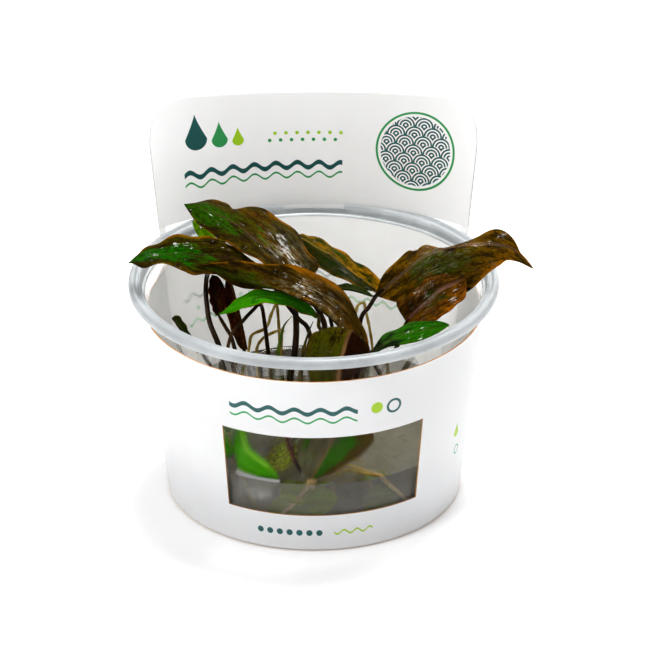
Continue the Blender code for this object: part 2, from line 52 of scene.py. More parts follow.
class Value:
    """A number or vector inside a finish. Arithmetic on it adds Math nodes."""

    def __init__(self, finish, socket):
        self.finish = finish
        self.socket = socket

    def maths(self, operation, *terms, clamp=False):
        settings = {"operation": operation, "use_clamp": clamp}
        return self.finish.add("ShaderNodeMath", settings, dict(enumerate(terms)))

    def __add__(self, other):
        return self.maths("ADD", self, other)

    def __radd__(self, other):
        return self.maths("ADD", other, self)

    def __sub__(self, other):
        return self.maths("SUBTRACT", self, other)

    def __rsub__(self, other):
        return self.maths("SUBTRACT", other, self)

    def __mul__(self, other):
        return self.maths("MULTIPLY", self, other)

    def __rmul__(self, other):
        return self.maths("MULTIPLY", other, self)

    def __truediv__(self, other):
        return self.maths("DIVIDE", self, other)

    def __rtruediv__(self, other):
        return self.maths("DIVIDE", other, self)

    def __pow__(self, other):
        return self.maths("POWER", self, other)

    def __abs__(self):
        return self.maths("ABSOLUTE", self)

    def __mod__(self, other):
        return self.maths("FLOORED_MODULO", self, other)

    def sine(self):
        return self.maths("SINE", self)

    def root(self):
        return self.maths("SQRT", self)

    def least(self, other):
        return self.maths("MINIMUM", self, other)

    def most(self, other):
        return self.maths("MAXIMUM", self, other)

    def held(self):
        """Kept between 0 and 1."""
        return self.maths("ADD", self, 0.0, clamp=True)

    def ease(self, low, high):
        """0 below low, 1 above high and smooth between. It falls instead where low is the larger."""
        start, end = (0.0, 1.0) if low < high else (1.0, 0.0)
        sockets = {0: self, 1: min(low, high), 2: max(low, high), 3: start, 4: end}
        return self.finish.add("ShaderNodeMapRange", {"interpolation_type": "SMOOTHSTEP"}, sockets)


class Maker:
    """Adds nodes to a tree, one method for every kind."""

    def __init__(self, tree):
        self.tree = tree
        self.nodes = tree.nodes
        self.links = tree.links

    def feed(self, socket, value):
        if isinstance(value, Value):
            self.links.new(value.socket, socket)
        elif isinstance(value, tuple) and socket.type == "RGBA" and len(value) == 3:
            socket.default_value = (*value, 1.0)
        else:
            socket.default_value = value

    def add(self, kind, settings=None, sockets=None, output=0):
        node = self.nodes.new(kind)
        for name, value in (settings or {}).items():
            setattr(node, name, value)
        for key, value in (sockets or {}).items():
            self.feed(node.inputs[key], value)
        return Value(self, node.outputs[output])

    def parts(self, place):
        node = self.nodes.new("ShaderNodeSeparateXYZ")
        self.feed(node.inputs[0], place)
        return [Value(self, socket) for socket in node.outputs]


class Finish(Maker):
    """A material being built."""

    def __init__(self, name):
        self.material = bpy.data.materials.new(name)
        self.material.use_nodes = True
        super().__init__(self.material.node_tree)
        self.shader = self.nodes["Principled BSDF"]
        self.output = self.nodes["Material Output"]

    def set(self, **sockets):
        """Values or links for the main shader, with underscores in place of spaces."""
        for name, value in sockets.items():
            self.feed(self.shader.inputs[name.replace("_", " ")], value)

    def fill_with(self, kind, sockets):
        self.links.new(self.add(kind, {}, sockets).socket, self.output.inputs["Volume"])

    def mix(self, share, first, second, blend="MIX"):
        settings = {"data_type": "RGBA", "blend_type": blend}
        return self.add("ShaderNodeMix", settings, {0: share, 6: first, 7: second}, output=2)

    def noise(self, where, scale, detail=2.0, roughness=0.5, distortion=0.0):
        sockets = {"Vector": where, "Scale": scale, "Detail": detail, "Roughness": roughness,
                   "Distortion": distortion}
        return self.add("ShaderNodeTexNoise", {}, sockets)

    def object_place(self):
        return self.add("ShaderNodeTexCoord", {}, {}, output=3)

    def map_place(self, name):
        return self.add("ShaderNodeUVMap", {"uv_map": name})

    def stretch(self, place, scale, move=(0.0, 0.0, 0.0)):
        return self.add("ShaderNodeMapping", {}, {"Vector": place, "Scale": scale, "Location": move})

    def bump(self, height, distance, strength=1.0):
        sockets = {"Strength": strength, "Distance": distance, "Height": height}
        self.set(Normal=self.add("ShaderNodeBump", {}, sockets))


def colour(red, green, blue):
    """A shader colour from the usual 0 to 255 numbers."""
    def linear(part):
        part = part / 255
        return part / 12.92 if part <= 0.04045 else ((part + 0.055) / 1.055) ** 2.4
    return (linear(red), linear(green), linear(blue))


# Shapes

STEPS_BETWEEN_CORNERS = 24


def unit(vectors):
    return vectors / np.maximum(np.linalg.norm(vectors, axis=-1, keepdims=True), 1e-9)


def between(a, b, c, d, u):
    """A smooth curve from b to c, where a comes before and d after, at shares u of the way."""
    return 0.5 * (2 * b + (c - a) * u + (2 * a - 5 * b + 4 * c - d) * u**2 + (3 * b - a - 3 * c + d) * u**3)


def smooth_curve(values, places):
    """A smooth curve through evenly spaced values, read at places from 0 to 1."""
    values = np.array(values, float)
    padded = np.concatenate([[2 * values[0] - values[1]], values, [2 * values[-1] - values[-2]]])
    spot = np.clip(np.asarray(places) * (len(values) - 1), 0, len(values) - 1 - 1e-9)
    start = spot.astype(int)
    return between(*(padded[start + step] for step in range(4)), spot - start)


def smooth_path(corners, count):
    """Points at even distances along a smooth curve through the corners, its directions there, and
    its length."""
    p = np.array(corners, float)
    p = np.vstack([2 * p[0] - p[1], p, 2 * p[-1] - p[-2]])
    shares = np.linspace(0, 1, STEPS_BETWEEN_CORNERS, endpoint=False)
    curve = [between(*four, u) for four in zip(p, p[1:], p[2:], p[3:]) for u in shares]
    curve = np.array(curve + [p[-2]])
    ahead = unit(np.gradient(curve, axis=0))
    along = np.concatenate([[0], np.cumsum(np.linalg.norm(np.diff(curve, axis=0), axis=1))])
    stops = np.linspace(0, along[-1], count)
    points, directions = (np.stack([np.interp(stops, along, line[:, axis]) for axis in range(3)], axis=-1)
                          for line in (curve, ahead))
    return points, unit(directions), along[-1]


def add_mesh(name, points, faces, finishes, maps=None, marks=None):
    """A smooth mesh object from millimetre points. Maps are UV layers with a pair for each point,
    and marks give each face's finish."""
    mesh = bpy.data.meshes.new(name)
    mesh.from_pydata((np.array(points) * MM).tolist(), [], [list(map(int, face)) for face in faces])
    for label, pairs in (maps or {}).items():
        layer = mesh.uv_layers.new(name=label)
        corners = np.zeros(len(mesh.loops), int)
        mesh.loops.foreach_get("vertex_index", corners)
        layer.data.foreach_set("uv", np.array(pairs, float)[corners].ravel())
    for finish in finishes:
        mesh.materials.append(finish.material)
    if marks is not None:
        mesh.polygons.foreach_set("material_index", np.array(marks, np.int32))
    return place_mesh(name, mesh)


def place_mesh(name, mesh):
    """A smooth object of the mesh, with its faces outwards."""
    shape = bmesh.new()
    shape.from_mesh(mesh)
    if shape.calc_volume(signed=True) < 0:
        bmesh.ops.reverse_faces(shape, faces=shape.faces)
        shape.to_mesh(mesh)
    shape.free()
    mesh.shade_smooth()
    piece = bpy.data.objects.new(name, mesh)
    bpy.context.scene.collection.objects.link(piece)
    return piece


def keep(piece, slot, *nodes):
    """Rides a piece on the model and hides the solids that it stands for. The slot, what it is made of, is
    not used.
    """
    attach(piece, "root")
    if nodes:
        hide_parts(*nodes)
    return piece


def turned(profile, sides):
    """Points and faces of a closed profile turned about Z. Radius zero becomes one point."""
    points, rings, faces = [], [], []
    turn = 2 * math.pi * np.arange(sides) / sides
    for radius, height in profile:
        if radius == 0:
            rings.append([len(points)] * sides)
            points.append((0.0, 0.0, height))
            continue
        rings.append(list(range(len(points), len(points) + sides)))
        points += [(radius * math.cos(a), radius * math.sin(a), height) for a in turn]
    for lower, upper in zip(rings, rings[1:]):
        for step in range(sides):
            after = (step + 1) % sides
            faces.append(list(dict.fromkeys([lower[step], lower[after], upper[after], upper[step]])))
    return points, faces


def rounded(corners, radius, steps=5):
    """The profile with each inner corner replaced by a small curve."""
    corners = np.array(corners, float)
    made = [tuple(corners[0])]
    for before, corner, after in zip(corners, corners[1:], corners[2:]):
        back, on = before - corner, after - corner
        reach = min(radius, np.linalg.norm(back) * 0.45, np.linalg.norm(on) * 0.45)
        first, last = corner + unit(back) * reach, corner + unit(on) * reach
        for u in np.linspace(0, 1, steps):
            made.append(tuple((1 - u) ** 2 * first + 2 * u * (1 - u) * corner + u**2 * last))
    made.append(tuple(corners[-1]))
    return made


class Growth(Maker):
    """A Geometry Nodes tree whose inputs are a source, its named sizes with their kinds, and a finish."""

    kinds = {int: "NodeSocketInt", float: "NodeSocketFloat", Finish: "NodeSocketMaterial"}

    def __init__(self, name, **sizes):
        super().__init__(bpy.data.node_groups.new(name, "GeometryNodeTree"))
        outside = self.tree.interface
        for way in ("INPUT", "OUTPUT"):
            outside.new_socket("Geometry", in_out=way, socket_type="NodeSocketGeometry")
        for label, kind in {**sizes, "Finish": Finish}.items():
            outside.new_socket(label, in_out="INPUT", socket_type=self.kinds[kind])
        node = self.nodes.new("NodeGroupInput")
        self.given = {socket.name: Value(self, socket) for socket in node.outputs[:-1]}

    def end(self, geometry):
        smooth = self.add("GeometryNodeSetShadeSmooth", {}, {"Geometry": geometry})
        whole = self.add("GeometryNodeRealizeInstances", {}, {"Geometry": smooth})
        sockets = {"Geometry": whole, "Material": self.given["Finish"]}
        done = self.add("GeometryNodeSetMaterial", {}, sockets)
        out = self.nodes.new("NodeGroupOutput")
        self.feed(out.inputs[0], done)

    def grow(self, name, source, **sizes):
        """The tree's result on a source object as a plain mesh object."""
        grower = source.modifiers.new("growth", "NODES")
        grower.node_group = self.tree
        for item in self.tree.interface.items_tree:
            if item.in_out == "INPUT" and item.name in sizes:
                grower[item.identifier] = sizes[item.name]
        bpy.context.view_layer.update()
        graph = bpy.context.evaluated_depsgraph_get()
        mesh = bpy.data.meshes.new_from_object(source.evaluated_get(graph))
        source.modifiers.remove(grower)
        return place_mesh(name, mesh)


def strand_growth():
    """Round strands along the splines of a curve, as thick as each point's radius."""
    growth = Growth("strands", Sides=int, Flatness=float)
    given = growth.given
    ring = growth.add("GeometryNodeCurvePrimitiveCircle", {}, {"Resolution": given["Sides"], "Radius": 1.0})
    scale = growth.add("ShaderNodeCombineXYZ", {}, {0: 1.0, 1: given["Flatness"], 2: 1.0})
    ring = growth.add("GeometryNodeTransform", {}, {"Geometry": ring, "Scale": scale})
    radius = growth.add("GeometryNodeInputRadius")
    sockets = {"Curve": given["Geometry"], "Profile Curve": ring, "Scale": radius, "Fill Caps": True}
    growth.end(growth.add("GeometryNodeCurveToMesh", {}, sockets))
    return growth


BEAD_LEAST_RISE = 0.35      # how far a face looks up where a bead stays on it
BEAD_HEIGHT = 0.55          # next to half its width


def bead_growth():
    """Water beads scattered over the upper side of a blade."""
    growth = Growth("beads", Density=float, Size=float, Seed=int)
    given = growth.given
    rise = growth.parts(growth.add("GeometryNodeInputNormal"))[2]
    upward = rise.maths("GREATER_THAN", rise, BEAD_LEAST_RISE)
    sockets = {"Mesh": given["Geometry"], "Selection": upward, "Density": given["Density"],
               "Seed": given["Seed"]}
    points = growth.nodes.new("GeometryNodeDistributePointsOnFaces")
    for label, value in sockets.items():
        growth.feed(points.inputs[label], value)
    limits = {2: 0.5, 3: 1.0, 8: given["Seed"]}
    spread = growth.add("FunctionNodeRandomValue", {"data_type": "FLOAT"}, limits, 1)
    ball = growth.add("GeometryNodeMeshUVSphere", {}, {"Segments": 8, "Rings": 6, "Radius": 1.0})
    ball = growth.add("GeometryNodeTransform", {}, {"Geometry": ball, "Scale": (1.0, 1.0, BEAD_HEIGHT)})
    sockets = {"Points": Value(growth, points.outputs["Points"]), "Instance": ball,
               "Rotation": Value(growth, points.outputs["Rotation"]),
               "Scale": spread ** 3 * given["Size"]}
    growth.end(growth.add("GeometryNodeInstanceOnPoints", {}, sockets))
    return growth


def strands(name, growth, lines, finish, sides=12, flatness=1.0):
    """Strands along lines, each the points of its middle and its radii in millimetres."""
    data = bpy.data.curves.new(name, "CURVE")
    data.dimensions = "3D"
    for points, radii in lines:
        line = data.splines.new("POLY")
        line.points.add(len(points) - 1)
        line.points.foreach_set("co", np.c_[np.array(points) * MM, np.ones(len(points))].ravel())
        line.points.foreach_set("radius", np.array(radii, float) * MM)
    path = bpy.data.objects.new(name + "_path", data)
    bpy.context.scene.collection.objects.link(path)
    piece = growth.grow(name, path, Sides=sides, Flatness=flatness, Finish=finish.material)
    bpy.data.objects.remove(path)
    return piece


# Leaves. Each has its midrib from base to tip in millimetres and the way its upper side faces. Either
# half, or both, has tilts in degrees and widths, evenly spaced from base to tip, or a form: its widest
# width, where that is, and how round the tip is. A margin gives the half's edge as points instead, and
# bulge how far the half swells between it and the midrib.
# Ruffle is the height, number and start of the waves along the margin, a notch is a dip in the margin
# with its place, depth and spread, and crease is how far the midrib stands up.

LEAVES = {
    "back_left": {
        "midrib": [(-3.7, -2, 61.3), (-8.3, 3, 65.2), (-16.3, 9, 70.5), (-22.6, 13, 73.6),
                   (-29.6, 16, 75.7), (-35.5, 18, 76.3)],
        "face": (-0.2, -0.5, 0.8),
        "left": {"tilts": (62, 34, -20), "widths": (0.5, 4.9, 8, 8.6, 8.8, 9, 8.1, 7, 5.8, 3.9, 0.1)},
        "right": {"tilts": (-46, -35, -45),
                  "widths": (0.5, 11.2, 12.7, 13.7, 14, 13.4, 12.5, 10.2, 8, 7, 0.1),
                  "notches": [(0.715, 0.3, 0.035)]},
    },
    "small_left": {
        "midrib": [(-24.7, 16, 65.4), (-27.7, 17, 66.7), (-30.4, 18, 68.7), (-33.2, 19, 70.6)],
        "face": (0, -0.6, 0.8),
        "left": {"tilts": (10, 10, 10), "form": (2.8, 0.5, 0.7)},
        "right": {"tilts": (25, 25, 25), "form": (2.8, 0.5, 0.7)},
    },
    "left": {
        "midrib": [(-16.7, 0, 67.3), (-23.8, 0, 68.9), (-30.8, -1, 70), (-37.5, -2, 70.9),
                   (-44.2, -4, 70.9), (-50, -5, 69.9)],
        "face": (-0.1, -0.5, 0.9),
        "left": {"tilts": (-20, 13, 30), "widths": (0.5, 2.9, 5, 6.4, 6.7, 8.6, 7.7, 5.8, 4.8, 5, 0.1)},
        "right": {"tilts": (14, -3, -25),
                  "widths": (0.5, 2.2, 4.1, 5.8, 6.2, 6.5, 6.8, 5.6, 4.7, 3.1, 0.1)},
    },
    "long": {
        "midrib": [(12.9, -31, 50.9), (10.2, -28, 56.2), (6, -25, 61.9), (-0.2, -21, 65),
                   (-7.7, -17, 66.6), (-14.1, -14, 66.7), (-20.6, -11, 67.9), (-26.6, -9, 69.4),
                   (-32.3, -8, 69.8)],
        "face": (0.1, -0.4, 0.9),
        "left": {"tilts": (-110, -150, -60),
                 "widths": (0.5, 1.3, 1.3, 0.4, 0.1, 0.5, 3, 6.3, 4.2, 1.5, 0.1)},
        "right": {"tilts": (-37, 0, 55),
                  "widths": (0.5, 7.5, 9.1, 10.4, 11.2, 10.3, 8.4, 6.7, 4.7, 2, 0.1)},
    },
    "back": {
        "midrib": [(-5.5, 18, 66.4), (-2.5, 18.5, 65.4), (1.6, 19, 62.2), (6, 19, 59.3),
                   (10.1, 19, 55.4), (14.8, 19, 51.5), (19.5, 18.5, 48.3)],
        "face": (0.2, -0.2, 0.9),
        "left": {"tilts": (-14, -8, 25),
                 "widths": (0.5, 2.9, 5.1, 6.2, 5.9, 5.6, 5.5, 5.4, 4.5, 3.7, 0.1)},
        "right": {"tilts": (-33, 2, 23),
                  "widths": (0.5, 3.2, 5.3, 6.7, 7.3, 7.2, 6.8, 6.5, 5.9, 3.4, 0.1)},
    },
    "right": {
        "midrib": [(17.3, 5, 54.7), (24.1, 3, 62.1), (29.2, 0, 68.5), (35, -2, 72), (43.6, -5, 75.1),
                   (51.6, -7, 75.3), (55.6, -8, 73.1), (58.9, -9, 69.4)],
        "face": (-0.2, -0.3, 0.9),
        "left": {"tilts": (75, -30, 90),
                 "widths": (0.5, 3.2, 4.8, 6.8, 5.5, 0.9, 2.1, 4.3, 3.9, 0.6, 0.1),
                 "notches": [(0.29, 0.34, 0.025)]},
        "right": {"tilts": (-15, -52, -50),
                  "widths": (0.5, 6.4, 10.3, 12.7, 13.8, 13.5, 12.2, 9.6, 5.9, 2.6, 0.1)},
    },
    "right_lower": {
        "midrib": [(25.2, -7, 52.4), (27.6, -8, 56), (30.9, -9, 59.8), (33.7, -10, 63.3),
                   (37.5, -11, 66), (41, -11, 68)],
        "face": (-0.2, -0.5, 0.8),
        "left": {"tilts": (40, 16, 0),
                 "widths": (0.5, 5.6, 4.8, 4.8, 5.2, 5.2, 4.8, 4.2, 3.2, 1.8, 0.1)},
        "right": {"tilts": (35, 10, -30),
                  "widths": (0.5, 3.5, 5.8, 7.2, 7.9, 8.1, 8.1, 7.4, 6, 4.8, 0.1)},
    },
    "right_front": {
        "ruffle": (0.2, 3.0, 0.3),
        "midrib": [(15.2, -31, 55), (18.5, -30.5, 57.8), (21.5, -29.5, 59.1), (24.5, -28.5, 60),
                   (28.7, -27, 60.2), (33, -25.5, 60.3), (36.3, -24, 60.3)],
        "face": (0, -0.5, 0.9),
        "left": {"tilts": (-30, -28, 3),
                 "widths": (0.5, 2.3, 3.6, 4.2, 4.1, 4.5, 4.5, 3.8, 2.8, 1.8, 0.1)},
        "right": {"tilts": (12, 6, 12),
                  "widths": (0.5, 1.1, 1.7, 2.7, 3.5, 3.7, 3.6, 3.2, 2.4, 1.4, 0.1)},
    },
    "young": {
        "midrib": [(1.2, -14, 57.9), (-3.1, -14, 60.9), (-7.7, -14, 62.7), (-13.9, -14, 63.7),
                   (-19, -14, 62.5), (-22.6, -14, 60.4), (-25.8, -14, 58.6)],
        "face": (0, -0.5, 0.9),
        "left": {"tilts": (17, 30, -14),
                 "widths": (0.5, 2.1, 3.5, 3.4, 3.2, 4, 3.7, 3.1, 2.3, 1.4, 0.1)},
        "right": {"tilts": (-5, -8, -28),
                  "widths": (0.5, 1.4, 2.2, 2.6, 2.8, 2.8, 3.1, 2.8, 1.9, 0.9, 0.1)},
    },
    "folded": {
        "midrib": [(5.4, -29, 36.7), (6.4, -32.5, 47), (7.2, -35.4, 55.7), (8.0, -35.8, 58.4),
                   (8.7, -35.8, 61.4), (9.5, -35.0, 63.3), (10.2, -33.6, 63.3), (10.6, -32.0, 62.2)],
        "face": (0, -1, 0.2),
        "crease": 0.35,
        "ruffle": (0.1, 3.0, 0.0),
        "left": {"bulge": -0.16, "margin": [
            (4.6, -29, 36.9), (-0.4, -30.6, 46), (-2.1, -33.0, 54.3), (-2.1, -33.4, 56.9),
            (-1.5, -33.6, 60.3), (-0.2, -33.0, 62.3), (1.2, -31.4, 62.1), (2.2, -30.0, 60.6)]},
        "right": {"bulge": 0.1, "margin": [
            (5.8, -28.6, 36.9), (9.6, -31, 44.5), (13.8, -33, 51.6), (14.9, -33.6, 56.6),
            (14.5, -33.8, 59.4), (12.6, -33.8, 61.5), (11.4, -33.4, 62.5), (11, -32.4, 62)]},
    },
    "slim": {
        "midrib": [(5.5, 6, 56.4), (8.6, 6.5, 56.4), (11.9, 8, 54.9), (16.6, 10.2, 51.9)],
        "face": (0, -0.3, 0.9),
        "both": {"tilts": (20, 15, 10), "form": (1.4, 0.45, 0.9)},
    },
    "upright": {
        "midrib": [(-25.9, -2, 52.2), (-26.6, -1, 56.3), (-27.2, 0, 59.5), (-27.4, 1, 62.9)],
        "face": (0.5, -0.8, 0),
        "both": {"tilts": (30, 30, 30), "form": (3.1, 0.5, 0.5)},
    },
    "upright_slim": {
        "midrib": [(-19.1, -3, 42), (-19.9, -2, 47.6), (-21, -1, 53.3), (-22.3, 0, 58.9),
                   (-23.3, 1, 62)],
        "face": (-0.7, -0.7, 0),
        "both": {"tilts": (35, 35, 30), "form": (3.0, 0.5, 0.5)},
    },
    "wall": {
        "midrib": [(-31, -10, 45.6), (-34.3, -14, 52), (-36.3, -16, 56.3), (-37.8, -17.5, 59.2)],
        "face": (0.7, -0.3, 0.7),
        "both": {"tilts": (15, 15, 15), "form": (2.4, 0.72, 0.6)},
    },
    "window_left": {
        "midrib": [(-20.3, -30.6, 38.7), (-19.9, -32, 34.6), (-19.3, -33.6, 32.1), (-18, -35.2, 28.4),
                   (-15.6, -36.2, 26.4), (-13.2, -37, 24.9), (-11.1, -37.6, 22.9), (-9.7, -38.2, 21.2)],
        "face": (-0.5, -0.8, 0.3),
        "crease": 0.3,
        "ruffle": (0.12, 4.0, 0.0),
        "left": {"bulge": 0.05, "margin": [
            (-20, -30.4, 38.7), (-19.2, -31.6, 34.8), (-18.3, -33, 32.5), (-17, -34.6, 28.9),
            (-14.7, -35.7, 26.9), (-12.4, -36.6, 25.3), (-10.6, -37.3, 23.1), (-9.5, -38.0, 21.5)]},
        "right": {"bulge": 0.14, "margin": [
            (-20.7, -30.5, 38.6), (-21.2, -31, 34), (-21.4, -31.6, 30.4), (-21.4, -32.4, 26.8),
            (-21, -33.2, 23.9), (-20, -34, 21.7), (-15.4, -36.4, 20.9), (-9.9, -38.2, 21)]},
    },
    "window_side": {
        "midrib": [(-32, -20, 27), (-28.5, -24.5, 27.2), (-24.5, -28.5, 26), (-21.8, -30.5, 24)],
        "face": (-0.3, -0.8, 0.5),
        "left": {"tilts": (10, 10, 10), "form": (3, 0.55, 0.6)},
        "right": {"tilts": (10, 10, 10), "form": (2.8, 0.55, 0.6)},
    },
    "floating": {
        "midrib": [(-5.8, -19.5, 22.8), (-7.2, -24, 22.1), (-9.3, -29.2, 21.7), (-11.2, -34, 21.4)],
        "face": (0, 0, 1),
        "both": {"tilts": (8, 5, 0), "form": (4.2, 0.55, 0.5)},
    },
    "window_middle": {
        "midrib": [(-0.9, -38.4, 20.8), (0, -38.4, 22.6), (1.6, -38, 25.8), (3.2, -37.4, 28.6),
                   (4.8, -36.4, 31.7), (6.4, -34.5, 36)],
        "face": (0.1, -0.9, 0.3),
        "ruffle": (0.15, 3.0, 0.0),
        "left": {"bulge": 0.05, "margin": [
            (-1.4, -38.4, 20.9), (-3.5, -38, 23.7), (-4.6, -37.4, 28), (-4.4, -36.8, 31.4),
            (-2.6, -35.8, 34.6), (1.5, -34.6, 37)]},
        "right": {"bulge": 0.05, "margin": [
            (-0.3, -38.4, 20.9), (4.2, -38, 22.4), (8.8, -37.4, 25.2), (13.6, -36.8, 28.5),
            (16, -36, 33), (10, -34.5, 38.6)]},
    },
}

BLADE_THICKNESS = 0.26
BLADE_GRID = (72, 12)
LEAST_WIDTH = 0.06
ARCH = 22
RUFFLE = (0.35, 4.0, 0.0)
MIDRIB_GROOVE = -0.22


def half_widths(half, share):
    """The width at each share of the length, from a list or a form."""
    if "widths" in half:
        width = smooth_curve(half["widths"], share)
        for place, depth, spread in half.get("notches", ()):
            width = width * (1 - depth * np.exp(-(((share - place) / spread) ** 2)))
        return np.maximum(width, LEAST_WIDTH)
    width, widest, tip = half["form"]
    swell = tip * widest / (1 - widest)
    outline = (share / widest) ** swell * ((1 - share) / (1 - widest)) ** tip
    return np.maximum(width * outline, 0.45 - 0.39 * share)


def spread_half(half, sign, spine, left, up, share, columns):
    """Lines of points from the midrib out to one margin, the way each faces, and every row's width."""
    if "margin" in half:
        away = smooth_path(half["margin"], len(share))[0] - spine
        width = np.linalg.norm(away, axis=1)
        bulge = half["bulge"] * width[:, None] * up
        steps = np.arange(1, columns + 1) / columns
        return [spine + away * t + np.sin(np.pi * t) * bulge for t in steps], [up] * columns, width
    tilt = np.radians(smooth_curve(half["tilts"], share))
    width = half_widths(half, share)
    place = spine
    lines, normals = [], []
    for step in range(1, columns + 1):
        lean = (tilt + math.radians(ARCH) * (0.5 - (step - 0.5) / columns))[:, None]
        place = place + (width / columns)[:, None] * (sign * np.cos(lean) * left + np.sin(lean) * up)
        lines.append(place)
        normals.append(np.cos(lean) * up - sign * np.sin(lean) * left)
    return lines, normals, width


def ruffled_half(leaf, side, sign, axes, share, columns):
    """A half's lines with the waves of its margin, and each line's share and distance across."""
    half = leaf["both"] if "both" in leaf else leaf[side]
    lines, normals, width = spread_half(half, sign, *axes, share, columns)
    height, count, start = leaf.get("ruffle", RUFFLE)
    wave = np.sin(2 * np.pi * (count * share + start + 0.12 * sign))
    rise = height * np.minimum(width / 4, 1) * wave * np.minimum(1, 6 * share)
    steps = np.arange(1, columns + 1) / columns
    lines = [line + (rise * t**2.2)[:, None] * normal for line, normal, t in zip(lines, normals, steps)]
    return lines, [np.full(len(share), sign * t) for t in steps], [sign * t * width for t in steps]


def grid_normals(grid):
    return unit(np.cross(np.gradient(grid, axis=0), np.gradient(grid, axis=1)))


def blade(leaf, rows, columns):
    """The upper side of a blade as a grid from the right margin to the left, and its two maps: the
    shares along and across, and the same in millimetres."""
    spine, ahead, length = smooth_path(leaf["midrib"], rows)
    share = np.linspace(0, 1, rows)
    left = unit(np.cross(np.array(leaf["face"], float), ahead))
    axes = (spine, left, np.cross(ahead, left))
    right_half = ruffled_half(leaf, "right", -1, axes, share, columns)
    left_half = ruffled_half(leaf, "left", 1, axes, share, columns)
    middle = (spine, 0 * share, 0 * share)
    grid, over, far = (np.stack(before[::-1] + [centre] + after, axis=1)
                       for before, centre, after in zip(right_half, middle, left_half))
    along = np.repeat(share[:, None], grid.shape[1], axis=1)
    # the midrib lies in a shallow groove, and faint ribs run beside it
    groove = leaf.get("crease", MIDRIB_GROOVE) * np.exp(-(far / 0.55) ** 2)
    ribs = 0.05 * np.sin(far * 2.6) * np.exp(-(far / 9) ** 2)
    grid = grid + (groove + ribs)[..., None] * grid_normals(grid)
    return grid, np.stack([along, over], -1), np.stack([along * length, far], -1)


def leaf_mesh(name, leaf, finish, detail=BLADE_GRID):
    """A blade with a real thickness that thins towards its margin."""
    grid, shares, sizes = blade(leaf, *detail)
    thick = BLADE_THICKNESS * (1 - 0.6 * np.abs(shares[..., 1]) ** 4)
    thick = thick + 0.55 * np.exp(-(sizes[..., 1] / 0.5) ** 2) * (1 - shares[..., 0]) ** 0.7
    under = grid - thick[..., None] * grid_normals(grid)
    rows, columns = grid.shape[:2]
    count = rows * columns
    number = np.arange(count).reshape(rows, columns)
    quads = np.stack([number[:-1, :-1], number[1:, :-1], number[1:, 1:], number[:-1, 1:]], -1)
    quads = quads.reshape(-1, 4)
    faces = quads.tolist() + (quads[:, ::-1] + count).tolist()
    rim = np.concatenate([number[0, :], number[1:, -1], number[-1, -2::-1], number[-2:0:-1, 0]])
    faces += [[a, b, count + b, count + a] for a, b in zip(rim, np.roll(rim, -1))]
    points = np.concatenate([grid.reshape(-1, 3), under.reshape(-1, 3)])
    maps = {"blade": np.tile(shares.reshape(-1, 2), (2, 1)), "size": np.tile(sizes.reshape(-1, 2), (2, 1))}
    return add_mesh(name, points, faces, [finish], maps)


class Look:
    """How a wet leaf is coloured and how it shines. Colours are 0 to 255 numbers. Green shows in
    streaks by amount, round a place and over a spread, along the blade and across it."""

    rib = 0.35                  # how far the midrib stands out
    line = (140, 96, 78)        # the midrib's colour
    warm = 0.8                  # how far the margin stands out
    outlined = (1.0, 1.0)       # how much of that the left and the right margin get
    rim_from = 0.86             # where across the blade the margin starts
    mottle = 0.62               # how strong the dark spots are
    turned = None               # the colour of a right half that shows its underside
    wet = 0.5                   # how much of the leaf shines
    glint = (0.5, 0.0)          # where along and across the blade it shines most
    satin = 0.07                # how soft the shine is
    painted_highlight = 0.1                 # how strong the pale grey painted highlight near the glint is

    def __init__(self, name, body, dark, edge, green, amount, along, across, seed, **others):
        self.name = name
        self.body, self.dark, self.edge, self.green = (colour(*tone) for tone in (body, dark, edge, green))
        self.amount, self.along, self.across, self.seed = amount, along, across, seed
        vars(self).update(others)


# The pale grey of the highlight painted on wet leaves
HIGHLIGHT_GREY = (186, 180, 156)


